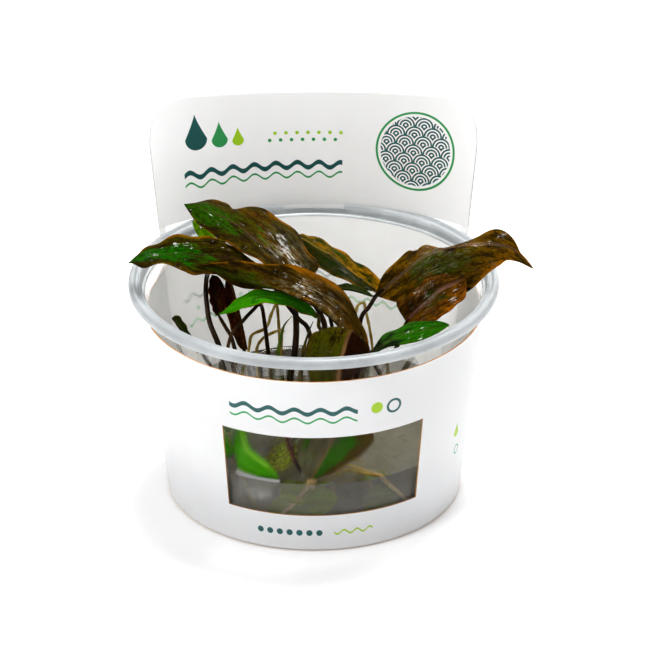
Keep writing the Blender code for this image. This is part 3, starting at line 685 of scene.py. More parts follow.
class LeafFinish(Finish):
    """A wet leaf, painted on its blade's two maps."""

    def __init__(self, look):
        super().__init__(look.name)
        self.look, seed = look, look.seed
        self.size = self.map_place("size")
        self.share, self.over, _ = self.parts(self.map_place("blade"))
        _, self.far, _ = self.parts(self.size)
        self.streaks = self.grain((0.15, 0.6), (seed, seed * 0.7, 0.0), 6.0, 0.7, 0.5)
        self.patches = self.grain((0.1, 0.2), (seed * 1.3, 4.0, seed), 3.0, 0.55, 0.4)
        self.fine = self.grain((0.5, 3.0), (seed, 0.0, 2.0), 3.0, 0.65)
        self.ribs = self.side_veins()
        self.moisten(self.veined(self.edged(self.flesh())))

    def grain(self, scale, move, detail, roughness, distortion=0.0):
        """Noise drawn out along the blade."""
        return self.noise(self.stretch(self.size, (*scale, 1.0), move), 1.0, detail, roughness, distortion)

    def side_veins(self):
        margin = abs(self.over)
        return abs(((margin * 3.0 + 0.5) % 1.0) - 0.5).ease(0.09, 0.0) * margin.ease(1.0, 0.7)

    def flesh(self):
        """The body in light and dark streaks, the green that shows in it, and dark spots."""
        look, streaks, patches = self.look, self.streaks, self.patches
        tone = self.mix(streaks.ease(0.38, 0.6), look.dark, look.body)
        tone = self.mix(patches.ease(0.5, 0.7) * 0.45 * look.warm, tone, look.edge)
        near = 1 - (abs(self.share - look.along[0]) / look.along[1]).held()
        beside = 1 - (abs(self.over - look.across[0]) / look.across[1]).held()
        wish = near * beside * 1.1 + (patches - 0.5) * 1.8 + (streaks - 0.5) * 1.3 + (look.amount - 0.5)
        tone = self.mix(wish.ease(0.26, 0.66), tone, look.green)
        spots = self.grain((0.75, 1.3), (look.seed, 2.0, 1.0), 3.0, 0.6)
        tone = self.mix(spots.ease(0.48, 0.6) * look.mottle, tone, look.dark)
        if look.turned:
            tone = self.mix(self.over.ease(0.03, -0.06) * 0.92, tone, colour(*look.turned))
        return tone

    def edged(self, tone):
        """The warm margin, uneven in width."""
        look = self.look
        left, right = look.outlined
        weight = self.over.ease(-0.1, 0.1) * (left - right) + right
        uneven = abs(self.over) + (self.streaks - 0.5) * 0.5 + (self.patches - 0.5) * 0.7
        rim = uneven.ease(look.rim_from, look.rim_from + 0.16)
        return self.mix(rim * weight * look.warm, tone, look.edge)

    def veined(self, tone):
        """Side veins, fine light and dark lines, and the midrib."""
        look, fine = self.look, self.fine
        tone = self.mix(self.ribs * 0.35, tone, look.dark)
        tone = self.mix(fine.ease(0.58, 0.76) * 0.3 * look.warm, tone, look.edge)
        tone = self.mix(fine.ease(0.46, 0.3) * 0.5, tone, look.dark)
        midrib = abs(self.far).ease(0.7, 0.2) * self.share.ease(1.0, 0.7)
        return self.mix(midrib * look.rib, tone, colour(*look.line))

    def moisten(self, tone):
        """The wrinkled surface, a pale grey painted highlight round the glint, and the wet shine in
        patches.
        """
        look, seed, fine, streaks = self.look, self.look.seed, self.fine, self.streaks
        ripple = self.grain((0.5, 0.5), (0.0, seed, 0.0), 3.0, 0.6)
        cells = self.grain((0.4, 2.6), (seed, 1.0, 0.0), 4.0, 0.7)
        sparkle = self.grain((1.2, 4.6), (seed, 1.0, 0.0), 2.0, 0.6)
        height = streaks * 0.5 + ripple * 0.9 + cells * 0.5 + sparkle * 0.25 - self.ribs * 0.3
        self.bump(height, 0.0014, 0.9)
        lengthwise = (1 - abs(self.share - look.glint[0]) * 3.0).held()
        close = lengthwise * (1 - abs(self.over - look.glint[1]) * 1.1).held()
        # painted highlight: pale grey mixed into the colour in streaks round the glint
        highlight_mask = close.ease(0.15, 0.8) * (cells * 0.6 + streaks * 0.4).ease(0.5, 0.6)
        tone = self.mix(highlight_mask * look.painted_highlight, tone, colour(*HIGHLIGHT_GREY))
        shine = cells * 0.6 + ripple * 0.4 + close * 0.08
        shine = shine.ease(0.68 - 0.24 * look.wet, 0.76 - 0.24 * look.wet)
        self.set(Base_Color=tone, Roughness=0.5 + (fine - 0.5) * 0.3, Coat_Weight=shine)
        self.set(Coat_Roughness=look.satin, Coat_IOR=1.45, Specular_IOR_Level=0.02)


BRONZE = (78, 68, 0)
BROWN = (40, 28, 2)
AMBER = (156, 100, 2)
DEEP = (18, 50, 2)

LOOKS = {
    "back_left": Look(
        "leaf bronze back", BRONZE, BROWN, AMBER, (46, 92, 0), 0.5, (0.95, 0.7), (0.3, 1.1), 1.0,
        rib=0.2, wet=0.6, warm=0.9, outlined=(0.5, 1.0), glint=(0.25, -0.35), satin=0.1, painted_highlight=0.45),
    "small_left": Look(
        "leaf small green", (140, 216, 16), (74, 134, 6), (84, 144, 8), (164, 226, 24), 0.8,
        (0.5, 0.8), (0, 1.4), 2.0, rib=0.0, mottle=0.4),
    "left": Look(
        "leaf green tip", (74, 66, 4), BROWN, AMBER, (30, 104, 0), 0.72, (0.86, 0.6), (0.0, 0.8), 3.0,
        rib=0.1, warm=0.7, outlined=(0.6, 1.0), glint=(0.9, -0.3)),
    "long": Look(
        "leaf bronze long", (82, 62, 2), BROWN, AMBER, (56, 76, 0), 0.34, (0.9, 0.5), (0.0, 1.0), 4.3,
        rib=0.15, wet=0.4, warm=0.7, outlined=(0.6, 0.9), glint=(0.42, -0.2), line=(120, 96, 50),
        mottle=0.55, satin=0.2, painted_highlight=0.4),
    "back": Look(
        "leaf olive", (176, 126, 4), DEEP, (190, 124, 14), (72, 90, 4), 0.12, (0.4, 0.6), (0.5, 0.8), 5.1,
        rib=0.6, warm=0.9, outlined=(1.0, 0.5), turned=(26, 44, 8), glint=(0.55, -0.5),
        line=(168, 140, 60)),
    "right": Look(
        "leaf bronze right", (130, 94, 2), (54, 40, 1), (176, 114, 6), (76, 86, 2), 0.19, (0.4, 0.7),
        (-0.3, 1.0), 6.2, rib=0.5, wet=0.65, warm=1.0, outlined=(0.6, 1.0), glint=(0.45, -0.15),
        line=(150, 124, 100), painted_highlight=0.3),
    "right_lower": Look(
        "leaf brown right", (112, 74, 6), (58, 38, 5), (176, 104, 6), (64, 74, 4), 0.2, (0.5, 0.6),
        (0, 1.0), 7.7, rib=0.75, wet=0.7, warm=0.9, outlined=(0.0, 0.9), glint=(0.42, 0.3),
        line=(160, 118, 106), painted_highlight=0.9),
    "right_front": Look(
        "leaf green right", (44, 66, 30), (20, 34, 14), (70, 84, 10), (46, 112, 2), 0.85, (0.85, 0.5),
        (-0.2, 1.3), 8.0, rib=0.1, wet=0.55, warm=0.4, glint=(0.15, 0.2), mottle=0.25),
    "young": Look(
        "leaf young", (98, 188, 4), (38, 104, 2), (150, 94, 8), (66, 154, 2), 0.85, (0.6, 0.9), (0, 1.6),
        9.0, rib=0.08, wet=0.25, mottle=0.2),
    # The pale tan line along the fold is partly the midrib's own colour and partly a painted highlight
    # where the fold catches the light
    "folded": Look(
        "leaf folded", (84, 74, 6), (44, 34, 4), (120, 92, 24), (94, 96, 6), 0.5, (0.6, 0.6), (0.5, 0.8),
        10.0, rib=0.9, wet=0.35, warm=0.3, outlined=(1.0, 0.6), turned=(48, 20, 6), glint=(0.6, 0.4),
        line=(176, 132, 88), mottle=0.4),
    "slim": Look(
        "leaf slim", (60, 70, 30), DEEP, BROWN, (58, 78, 28), 0.6, (0.5, 0.9), (0, 1.4), 11.0, rib=0.1),
    "upright": Look(
        "leaf red brown", (92, 42, 8), (38, 18, 5), (130, 84, 10), (88, 60, 8), 0.2, (0.5, 0.5), (0, 1.0),
        12.0, rib=0.1, wet=0.3),
    "wall": Look(
        "leaf dark green", (74, 76, 18), (38, 36, 12), (80, 60, 16), (60, 84, 14), 0.5, (0.5, 0.5),
        (0, 1.0), 12.6, rib=0.1),
    # Painted highlight: the pale yellow-green margin, full on the narrow left half that runs along the
    # fold, and the pale midrib stand for the light caught along the fold
    "window_left": Look(
        "leaf bright green", (70, 150, 0), (38, 108, 0), (170, 216, 40), (76, 158, 0), 0.85, (0.5, 0.9),
        (-0.3, 1.5), 13.0, wet=0.2, warm=0.5, outlined=(1.0, 0.3), line=(190, 226, 90), mottle=0.15),
    "floating": Look(
        "leaf mottled", (176, 186, 60), (62, 34, 26), (170, 176, 70), (150, 172, 50), 0.4, (0.5, 0.8),
        (0, 1.2), 14.0, mottle=0.9),
    "window_middle": Look(
        "leaf green brown", (112, 108, 82), (90, 84, 60), (84, 54, 6), (50, 106, 0), 0.75, (0.6, 1.3),
        (-0.5, 0.5), 15.0, rib=0.4, wet=0.2, outlined=(0.0, 1.0), line=(150, 110, 70), mottle=0.15,
        rim_from=0.5),
}
SUNK_LOOK = Look("leaf sunk", (216, 232, 40), (150, 170, 24), (232, 232, 80), (180, 216, 24), 0.6,
                 (0.5, 1.0), (0, 1.5), 16.0, mottle=0.4)
SAME_LOOK = {"upright_slim": "upright", "window_side": "window_left"}
GREEN_LEAVES = ("small_left", "young", "right_front", "window_left", "window_side", "floating",
                "window_middle")

# Beads of water to a square centimetre, and the radius of the largest in metres
BEADED = {"back_left": 3.0, "left": 4.0, "long": 3.0, "right": 4.0, "right_lower": 6.0, "back": 3.0,
          "right_front": 2.0, "young": 1.5, "folded": 6.0}
PER_SQUARE_METRE = 1e4
LARGEST_BEAD = 0.0011


def water_finish(name, clearness):
    water = Finish(name)
    water.set(Base_Color=(1.0, 1.0, 1.0), Roughness=0.02, IOR=1.33, Transmission_Weight=clearness)
    return water


def make_leaves(beads):
    finishes = {name: LeafFinish(look) for name, look in LOOKS.items()}
    water = water_finish("water", 1.0)
    for order, (name, leaf) in enumerate(LEAVES.items()):
        piece = leaf_mesh("blade_" + name, leaf, finishes[SAME_LOOK.get(name, name)])
        if name in BEADED:
            drops = beads.grow("water_on_" + name, piece, Density=BEADED[name] * PER_SQUARE_METRE,
                               Size=LARGEST_BEAD, Seed=order, Finish=water.material)
            keep(drops, "gel")
        keep(piece, "leaf_green" if name in GREEN_LEAVES else "leaf_bronze", "leaf_" + name)


# Stalks, shoots and roots. A stalk's route has its crown, the turn in degrees at which it leaves the
# crown's side, its radius, and points up to the leaf. A crown has its middle, radius and rise.

GEL_TOP = 20.0
CROWNS = {
    "left": (-19.0, -1.0, 2.9, 1.2),
    "middle": (-1.5, -3.0, 2.9, 1.2),
    "back": (-9.0, 4.0, 2.9, 1.2),
    "right": (10.5, 5.0, 2.9, 1.2),
    "front": (-0.6, -37.4, 1.6, 0.4),
    "front_right": (9.5, -20.0, 2.9, 1.2),
}
FOOT_RING = 1.9
STALK_POINTS = 48
ROOT_POINTS = 90
SUNK_ROOT_POINTS = 60
WATER_POINTS = 40

STALKS = {
    "back_left": ("middle", 330, 0.8, [(2, -4, 34), (3, -4, 48), (2, -3.5, 52.6), (-0.7, -3, 57.5)]),
    "small_left": ("left", 170, 0.7, [(-23, -2, 33), (-26.1, -8, 46.7), (-28.3, -5, 51.3),
                                      (-29.1, -2, 55.3), (-29.4, 1, 59.3), (-28.6, 6, 62)]),
    "left": ("middle", 60, 0.6, [(0, -0.5, 33), (-1.3, -1, 46.5), (-4.1, -1, 50.4), (-6.8, 0, 53.6),
                                 (-11.4, 1, 60.1)]),
    "long": ("front_right", 300, 0.8, [(11, -22, 30), (12, -26, 41)]),
    "back": ("back", 50, 0.8, [(-5.6, 7, 34), (-4.9, 9, 44), (-6.2, 13.5, 54), (-8.6, 16.5, 61.5),
                               (-7.9, 17.6, 65.6)]),
    "right": ("right", 300, 0.65, [(12, 3.5, 38), (12.9, 3.2, 48.3), (15.1, 4, 51.5)]),
    "right_lower": ("right", 0, 0.65, [(16, 3, 29), (22.5, -4, 43)]),
    "right_front": ("front_right", 0, 0.6, [(15, -21, 30), (18, -26, 43)]),
    "young": ("middle", 265, 0.6, [(-0.5, -6.5, 34), (1.9, -9, 49.3), (1.3, -12, 53.9)]),
    "folded": ("front_right", 220, 0.7, [(6, -23, 28)]),
    "slim": ("right", 180, 0.55, [(7, 3.5, 33), (5.2, 3.5, 44.5), (3.9, 4.8, 51.5), (4.3, 5.6, 55.4)]),
    "upright": ("left", 285, 0.6, [(-19.8, -4.2, 33), (-22.2, -4.5, 45.6), (-24, -3, 48.8)]),
    "upright_slim": ("left", 345, 0.6, [(-17.2, -2.6, 32)]),
    "wall": ("left", 230, 0.5, [(-23, -5, 31), (-28, -8.5, 40)]),
    "window_left": ("back", 200, 0.5, [(-12, 1.5, 33), (-13.4, -3, 50), (-14.4, -8, 58.4),
                                       (-16.6, -11, 58), (-19, -14, 56.6), (-22.6, -19, 53.6),
                                       (-23.5, -27, 46)]),
    "floating": ("front_right", 165, 0.5, [(4.5, -19, 24.5), (-1, -17.8, 24.6)]),
}
SHOOTS = {
    "shoot_green": ("back", 285, 0.55, [(-9, -0.5, 33), (-9.8, -6, 42), (-9.1, -6, 46.6),
                                        (-8.1, -7, 51.4), (-5.9, -9, 55.4)]),
    "shoot_olive": ("middle", 205, 0.6, [(-3.8, -5, 33), (-3, -8, 43), (-2.4, -8, 46.4),
                                         (-1.3, -8, 50.3), (-0.2, -8, 53.2)]),
}
DARK_SHOOT = ((-3.4, -36.9, 22.0), (-4.5, -36.6, 24.4), (-5.9, -35.6, 27.6), (-7.0, -34.6, 30.7),
              (-7.8, -33.6, 34.5), (-8.2, -32.4, 38.0))
ROOTS = {
    "root_left": [(-17.5, 6.5, 20.9), (-18.5, 6.5, 32), (-17.8, 4.4, 39.4), (-17, 7, 41.6),
                  (-13.2, 8, 43.2), (-11.8, 9, 46.7), (-10.4, 10, 49.4), (-10, 14, 45),
                  (-9.5, 16, 33), (-9.5, 17, 20.9)],
    "root_middle": [(-15, 11, 20.9), (-16, 10, 34), (-14.3, 5, 41.2), (-10.7, 6, 43),
                    (-8.6, 7.6, 42.6), (-9, 11, 38), (-9, 14, 20.9)],
    "root_right": [(11, 9.5, 20.9), (11, 11.5, 38), (11.8, 13, 46.6), (13.8, 14, 47.8),
                   (14.2, 14.2, 46), (16, 13.5, 36), (17, 13, 20.9)],
    "root_front": [(5.6, -34.6, 20.9), (9.7, -33.5, 21.3), (14.3, -35.4, 21.2), (18, -36, 20.9)],
}
ROOT_RADIUS = {"root_left": 0.42, "root_middle": 0.4, "root_right": 0.4, "root_front": 0.5}

# The line of water at the foot of the left leaf in the window, roots that run down into the gel, and
# leaves that lie sunk in it

WATER_FOOT = ((-20.9, -32.8, 20.9), (-19.6, -34.4, 20.6), (-15.4, -36.6, 20.5), (-11, -38.2, 20.5),
              (-9.2, -38.5, 20.6))
SUNK_ROOTS = (
    ((-0.4, -38.0, 20.9), (-2.0, -38.4, 18.0), (-3.8, -38.5, 15.6), (-8.2, -38.4, 11.0),
     (-10.4, -37.4, 8.3)),
    ((17.6, -35.9, 20.9), (19.6, -34.6, 17.6), (23.4, -31.9, 12.6), (25.2, -30.0, 9.4)),
    ((9.5, -20.0, 18.0), (7.0, -24.0, 13.0), (3.0, -28.0, 9.0), (-3.0, -30.0, 6.0)),
    ((-19.0, -1.0, 18.0), (-21.0, -8.0, 12.0), (-19.0, -16.0, 8.0), (-14.0, -24.0, 5.0)),
    ((-1.5, -3.0, 18.0), (2.0, -10.0, 12.0), (8.0, -15.0, 8.0), (15.0, -20.0, 5.5)),
)
SUNK_LEAVES = {
    "low": {
        "midrib": [(-12.0, -34.0, 9.5), (-6.0, -36.0, 10.5), (0.0, -36.5, 12.5), (6.0, -35.5, 13.5)],
        "face": (0.0, -0.8, 0.6),
        "ruffle": (0.5, 4, 0.2),
        "left": {"form": (5.0, 0.5, 0.6),
                 "tilts": (10, 10, 10),
                 "notches": [(0.35, 0.3, 0.06), (0.7, 0.25, 0.05)]},
        "right": {"form": (4.0, 0.5, 0.6), "tilts": (5, 5, 5), "notches": [(0.5, 0.35, 0.07)]},
    },
    "side": {
        "midrib": [(-9.0, -36.0, 17.0), (-5.0, -37.5, 16.0), (-1.5, -38.0, 16.5)],
        "face": (0.0, -0.8, 0.6),
        "left": {"form": (3.0, 0.5, 0.6), "tilts": (10, 10, 10)},
        "right": {"form": (2.6, 0.5, 0.6), "tilts": (5, 5, 5)},
    },
    "far": {
        "midrib": [(12.0, -28.0, 7.5), (17.0, -29.0, 9.0), (22.0, -27.0, 9.5)],
        "face": (0.0, -0.6, 0.8),
        "left": {"form": (3.4, 0.5, 0.6), "tilts": (10, 10, 10)},
        "right": {"form": (3.0, 0.5, 0.6), "tilts": (5, 5, 5)},
    },
}
SUNK_GRID = (32, 7)


def stem_finish(name, light, dark, gloss=0.25):
    """A wet stalk or root with fine lines along it."""
    stem = Finish(name)
    place = stem.stretch(stem.object_place(), (900, 900, 160))
    lines = stem.noise(place, 1.0, 3.0, 0.6)
    broad = stem.noise(stem.object_place(), 130.0, 2.0)
    tone = stem.mix((lines * 0.6 + broad * 0.6).ease(0.42, 0.72), colour(*dark), colour(*light))
    stem.bump(lines, 0.00025, 0.5)
    stem.set(Base_Color=tone, Roughness=gloss + 0.15 + lines * 0.2, Coat_Weight=0.2, Coat_Roughness=0.1)
    stem.set(Specular_IOR_Level=0.1)
    return stem


def stalk_path(crown, turn, corners):
    """From inside the crown up its side and on through the corners."""
    x, y, _, rise = CROWNS[crown]
    angle = math.radians(turn)
    foot = np.array([x + FOOT_RING * math.cos(angle), y + FOOT_RING * math.sin(angle), GEL_TOP + rise])
    return smooth_path([foot - (0, 0, 1.2), foot + (0, 0, 2.4), *corners], STALK_POINTS)[0]


def make_stems(growth):
    brown = stem_finish("stalk brown", (58, 36, 9), (15, 9, 3), 0.2)
    green = stem_finish("stalk green", (92, 116, 20), (44, 62, 12))
    olive = stem_finish("stalk olive", (96, 84, 24), (52, 40, 16))
    make_stalks(growth, brown, olive)
    make_shoots(growth, green, olive)


def make_stalks(growth, brown, olive):
    share = np.linspace(0, 1, STALK_POINTS)
    for name, (crown, turn, radius, corners) in STALKS.items():
        midrib, heading, _ = smooth_path(LEAVES[name]["midrib"], 40)
        path = stalk_path(crown, turn, [*corners, midrib[0] - 0.2 * heading[0], midrib[2]])
        radii = radius * (1.3 - 0.5 * share - 0.4 * np.maximum(share - 0.94, 0) / 0.06)
        finish = olive if name in ("floating", "young") else brown
        keep(strands("petiole_" + name, growth, [(path, radii)], finish), "stalk", "stalk_" + name)


def make_shoots(growth, green, olive):
    """Young leaves, still rolled up, that swell and then narrow to a point."""
    share = np.linspace(0, 1, STALK_POINTS)
    for name, (crown, turn, radius, corners) in SHOOTS.items():
        path = stalk_path(crown, turn, corners)
        radii = radius * np.maximum(1.0 + 0.45 * np.sin(np.pi * share ** 0.7) - 0.85 * share**2, 0.2)
        finish = green if name == "shoot_green" else olive
        piece = strands("rolled_" + name, growth, [(path, radii)], finish, flatness=0.8)
        keep(piece, "leaf_green", name)
    purple = stem_finish("stalk purple", (80, 46, 34), (34, 20, 16), 0.5)
    path = smooth_path(DARK_SHOOT, STALK_POINTS)[0]
    radii = 0.1 + 1.5 * np.sin(np.pi * share**0.8) ** 0.7
    keep(strands("rolled_dark", growth, [(path, radii)], purple, flatness=0.3), "stalk")


def make_roots(growth):
    gold = stem_finish("root gold", (214, 188, 104), (160, 126, 52), 0.4)
    tan = stem_finish("root tan", (252, 230, 172), (218, 184, 116), 0.45)
    share = np.linspace(0, 1, ROOT_POINTS)
    for name, corners in ROOTS.items():
        path, _, length = smooth_path(corners, ROOT_POINTS)
        wave = 1 + 0.12 * np.sin(share * length * 1.3) + 0.08 * np.sin(share * length * 2.9)
        piece = strands("strand_" + name, growth, [(path, ROOT_RADIUS[name] * wave)], gold, 10)
        keep(piece, "root", name)
    make_crowns(tan)
    radii = np.linspace(0.72, 0.45, SUNK_ROOT_POINTS)
    lines = [(smooth_path(corners, SUNK_ROOT_POINTS)[0], radii) for corners in SUNK_ROOTS]
    keep(strands("sunk_roots", growth, lines, tan, 8), "root")
    path = smooth_path(WATER_FOOT, WATER_POINTS)[0]
    radii = 0.3 + 0.28 * np.sin(np.linspace(0, np.pi, WATER_POINTS)) ** 0.6
    keep(strands("water_foot", growth, [(path, radii)], water_finish("water foot", 0.6), 10), "gel")


def make_crowns(tan):
    """Knotted stubs at the gel's surface, from which the stalks and roots grow."""
    for name, (x, y, radius, rise) in CROWNS.items():
        profile = [(0, GEL_TOP - 3), (0.45 * radius, GEL_TOP - 3), (0.8 * radius, GEL_TOP - 1.6),
                   (0.98 * radius, GEL_TOP - 0.3), (0.8 * radius, GEL_TOP + 0.7 * rise),
                   (0.45 * radius, GEL_TOP + rise), (0, GEL_TOP + rise)]
        points, faces = turned(rounded(profile, 0.9, 6), 36)
        points = np.array(points)
        turn = np.arctan2(points[:, 1], points[:, 0])
        points[:, :2] *= (1 - 0.14 * (np.sin(5 * turn + x) * np.cos(2.1 * points[:, 2])) ** 2)[:, None]
        points += (x, y, 0)
        keep(add_mesh("knot_" + name, points, faces, [tan]), "root", "crown_" + name)


def make_sunk_leaves():
    finish = LeafFinish(SUNK_LOOK)
    for name, leaf in SUNK_LEAVES.items():
        keep(leaf_mesh("sunk_blade_" + name, leaf, finish, SUNK_GRID), "leaf_green")


# Cup and gel

CUP_HEIGHT = 62.9
RIM_RADIUS = 50.5
RIM_DEPTH = 3.0
BASE_RADIUS = 39.7
WALL_SLOPE = 0.105
WALL = 0.7
CUP_FLOOR = 1.0
CUP_SIDES = 180


def wall_radius(height):
    return BASE_RADIUS + WALL_SLOPE * height


def make_cup():
    top = CUP_HEIGHT - RIM_DEPTH
    outside = [(0, 0), (BASE_RADIUS - 1.2, 0), (BASE_RADIUS + 0.02, 1.1), (wall_radius(top), top)]
    lip = [(RIM_RADIUS - 0.6, top), (RIM_RADIUS, top + 0.9)]
    lip += [(RIM_RADIUS - inwards, CUP_HEIGHT - down) for inwards, down in (
        (0, 0.9), (0.6, 0), (1.6, 0), (2.0, 0.9), (2.6, 0.9), (3.0, 0.25), (3.4, 0.7), (3.9, 3.4))]
    inside = [(wall_radius(top) - WALL + 0.1, top - 1.2), (wall_radius(2.0) - WALL, 2.0),
              (BASE_RADIUS - WALL - 1.2, CUP_FLOOR), (0, CUP_FLOOR)]
    points, faces = turned(rounded(outside + lip + inside, 0.7, 5), CUP_SIDES)
    heights = np.array(points)[:, 2]
    marks = [1 if heights[face].mean() > top - 0.6 else 0 for face in faces]
    finishes = [wall_finish(), lip_finish()]
    keep(add_mesh("clear_cup", points, faces, finishes, marks=marks), "clear_plastic", "cup")


def wall_finish():
    """The thin clear wall, with faint scuffs. Part of the light goes straight through it."""
    wall = Finish("cup wall")
    place = wall.object_place()
    haze = wall.noise(place, 60.0, 3.0, 0.6)
    scuffs = wall.noise(wall.stretch(place, (1.0, 1.0, 0.15)), 900.0, 2.0)
    wall.bump(haze * 0.7 + scuffs * 0.05, 0.0005, 0.12)
    wall.set(Base_Color=(1.0, 1.0, 1.0), Roughness=0.004 + haze * 0.016, IOR=1.14, Transmission_Weight=1.0)
    wall.set(Alpha=0.55)
    return wall


def lip_finish():
    """The lip is the same plastic, thicker and milky."""
    lip = Finish("cup lip")
    cloud = lip.noise(lip.object_place(), 90.0, 3.0, 0.6)
    lip.bump(cloud, 0.0004, 0.3)
    tone = lip.mix(cloud.ease(0.35, 0.65), colour(206, 210, 212), colour(226, 230, 232))
    lip.set(Base_Color=tone, Roughness=0.3 + cloud * 0.1, IOR=1.49, Transmission_Weight=0.5)
    return lip


GEL_EDGE = GEL_TOP + 0.9        # the gel climbs a little at the wall
GEL_SURFACE, GEL_BASE, GEL_SIDE = range(3)


def make_gel():
    def inside(height):
        return wall_radius(height) - WALL - 0.05
    foot = CUP_FLOOR + 0.05
    edge = inside(GEL_EDGE)
    profile = [(0, foot), (BASE_RADIUS - WALL - 1.3, foot), (inside(2.2), 2.2), (edge, GEL_EDGE),
               (edge - 0.25, GEL_EDGE - 0.15), (edge - 0.9, GEL_EDGE - 0.65), (edge - 2.4, GEL_TOP)]
    profile += [(radius, GEL_TOP + 0.12 * math.sin(radius * 0.9)) for radius in np.linspace(37, 1.5, 26)]
    profile.append((0, GEL_TOP))
    points, faces = turned(profile, CUP_SIDES)
    points = np.array(points)
    x, y, z = points.T
    surface = (z > GEL_TOP - 0.5) & (np.hypot(x, y) < 37.5)
    ripple = 0.16 * np.sin(x * 0.55 + 1) * np.cos(y * 0.43) + 0.07 * np.sin(x * 1.3 + y * 0.9)
    points[surface, 2] = GEL_TOP + ripple[surface]
    start = points[[face[0] for face in faces], 2]
    marks = np.where(start < 1.3, GEL_BASE, np.where(start < GEL_TOP - 1, GEL_SIDE, GEL_SURFACE))
    finishes = [gel_finish("nutrient gel", 1.0), shaded_gel_base_finish(), gel_finish("gel side", 0.75)]
    keep(add_mesh("clear_gel", points, faces, finishes, marks=marks), "gel", "nutrient_gel")


def gel_finish(name, clearness):
    """Clear gel, or where it is less clear, the cloudy film that it leaves on the wall."""
    gel = Finish(name)
    place = gel.object_place()
    gel.bump(gel.noise(place, 140.0, 2.0), 0.0004, 0.2)
    cloud = gel.noise(place, 50.0, 3.0).ease(0.35, 0.65)
    tone = gel.mix(cloud, colour(196, 193, 178), colour(212, 209, 198))
    gel.set(Base_Color=tone, Roughness=0.04, IOR=1.335, Transmission_Weight=clearness)
    gel.fill_with("ShaderNodeVolumeAbsorption", {"Color": colour(176, 171, 148), "Density": 6.0})
    return gel


def shaded_gel_base_finish():
    """The underside of the gel, made opaque, cloudy and brown with dark grains: painted shade that darkens
    what shows through the gel.
    """
    base = Finish("gel base")
    place = base.object_place()
    cloud = base.noise(place, 60.0, 4.0, 0.6)
    grains = base.noise(place, 420.0, 2.0)
    tone = base.mix(cloud.ease(0.35, 0.65), colour(180, 175, 154), colour(206, 201, 180))
    tone = base.mix(grains.ease(0.62, 0.72) * 0.5, tone, colour(72, 64, 48))
    base.bump(grains, 0.0003, 0.3)
    base.set(Base_Color=tone, Roughness=0.6 + grains * 0.2, Specular_IOR_Level=0.0)
    return base


# Card sleeve: a band round the cup and a header behind. Its shape repeats the solid's, with a finer
# grid. Angles are in degrees from the back, clockwise seen from above.

CARD = 0.45
GAP = 0.3
BAND_BOTTOM = 0.6
BAND_TOP = 54.4
SLIT_BOTTOM = 59.1
HEADER_BOTTOM = 63.4
HEADER_TOP = 96.2
TAB_DROP = 1.3
TAB_ANGLE = 10.8
HEADER_ANGLE = 55.8
SLIT_ANGLE = 53.4
HEADER_HALF_WIDTH = 46.8
HEADER_CORNER = 11.0
HEADER_TOP_DEPTH = 49.0
HEADER_TOP_BEND = 170.0
HEADER_FOOT_DEPTH = 45.2
HEADER_FOOT_SPREAD = 6.1
SIDE_BULGE = 5.6
BULGE_WIDTH = 10.0
BULGE_START = 30.0
WINDOW_BOTTOM = 11.6
WINDOW_TOP = 36.8
WINDOW_LEFT = 213.6
WINDOW_RIGHT = 138.7
MM_PER_DEGREE = 0.8
NEAR = 0.01
HEADER_OUTSIDE, BAND_OUTSIDE, HEADER_INSIDE, BAND_INSIDE, CUT_EDGE = range(5)


def band_point(angle, height):
    away = min(abs(angle), abs(360 - angle))
    ease = min(max((height - BULGE_START) / (HEADER_BOTTOM - BULGE_START), 0), 1) ** 1.6
    bow = SIDE_BULGE * ease * math.exp(-(((away - SLIT_ANGLE - 1) / BULGE_WIDTH) ** 2))
    radius = wall_radius(height) + GAP + CARD / 2 + bow
    turn = math.radians(angle)
    return np.array([radius * math.sin(turn), radius * math.cos(turn), height])


def header_point(angle, rise):
    share = angle / HEADER_ANGLE
    radius = HEADER_FOOT_DEPTH + HEADER_FOOT_SPREAD * (angle / SLIT_ANGLE) ** 2
    turn = math.radians(angle)
    foot = np.array([radius * math.sin(turn), radius * math.cos(turn), HEADER_BOTTOM])
    across = share * HEADER_HALF_WIDTH
    depth = HEADER_TOP_DEPTH - HEADER_TOP_BEND + math.sqrt(HEADER_TOP_BEND**2 - across**2)
    top = np.array([across, depth, HEADER_TOP])
    into_corner = max(abs(across) - (HEADER_HALF_WIDTH - HEADER_CORNER), 0)
    drop = HEADER_CORNER - math.sqrt(max(HEADER_CORNER**2 - into_corner**2, 0))
    reach = 1 - drop / (HEADER_TOP - HEADER_BOTTOM)
    return foot + (top - foot) * rise * reach


def fill(low, high, count):
    return list(np.linspace(low, high, count, endpoint=False))


# Heights of the band's rows, then one row of tabs over the slit, then shares of the header's height
BAND_ROWS = [*fill(BAND_BOTTOM, WINDOW_BOTTOM, 5), *fill(WINDOW_BOTTOM, WINDOW_TOP, 10),
             *fill(WINDOW_TOP, BAND_TOP, 8), *fill(BAND_TOP, SLIT_BOTTOM, 3), SLIT_BOTTOM]
TAB_ROW = len(BAND_ROWS)
HEADER_ROWS = [0.0, *np.linspace(0.06, 1.0, 16)]


def sleeve_columns():
    """Angles of the columns, once round from the header's left edge."""
    side = [*fill(0, TAB_ANGLE, 4)[1:], *fill(TAB_ANGLE, 36, 10), *fill(36, SLIT_ANGLE, 14),
            *fill(SLIT_ANGLE, HEADER_ANGLE, 3), HEADER_ANGLE]
    return [-angle for angle in side[::-1]] + [0] + side + [
        *fill(HEADER_ANGLE, WINDOW_RIGHT, 30)[1:], *fill(WINDOW_RIGHT, WINDOW_LEFT, 40),
        *fill(WINDOW_LEFT, 360 - HEADER_ANGLE, 30)]


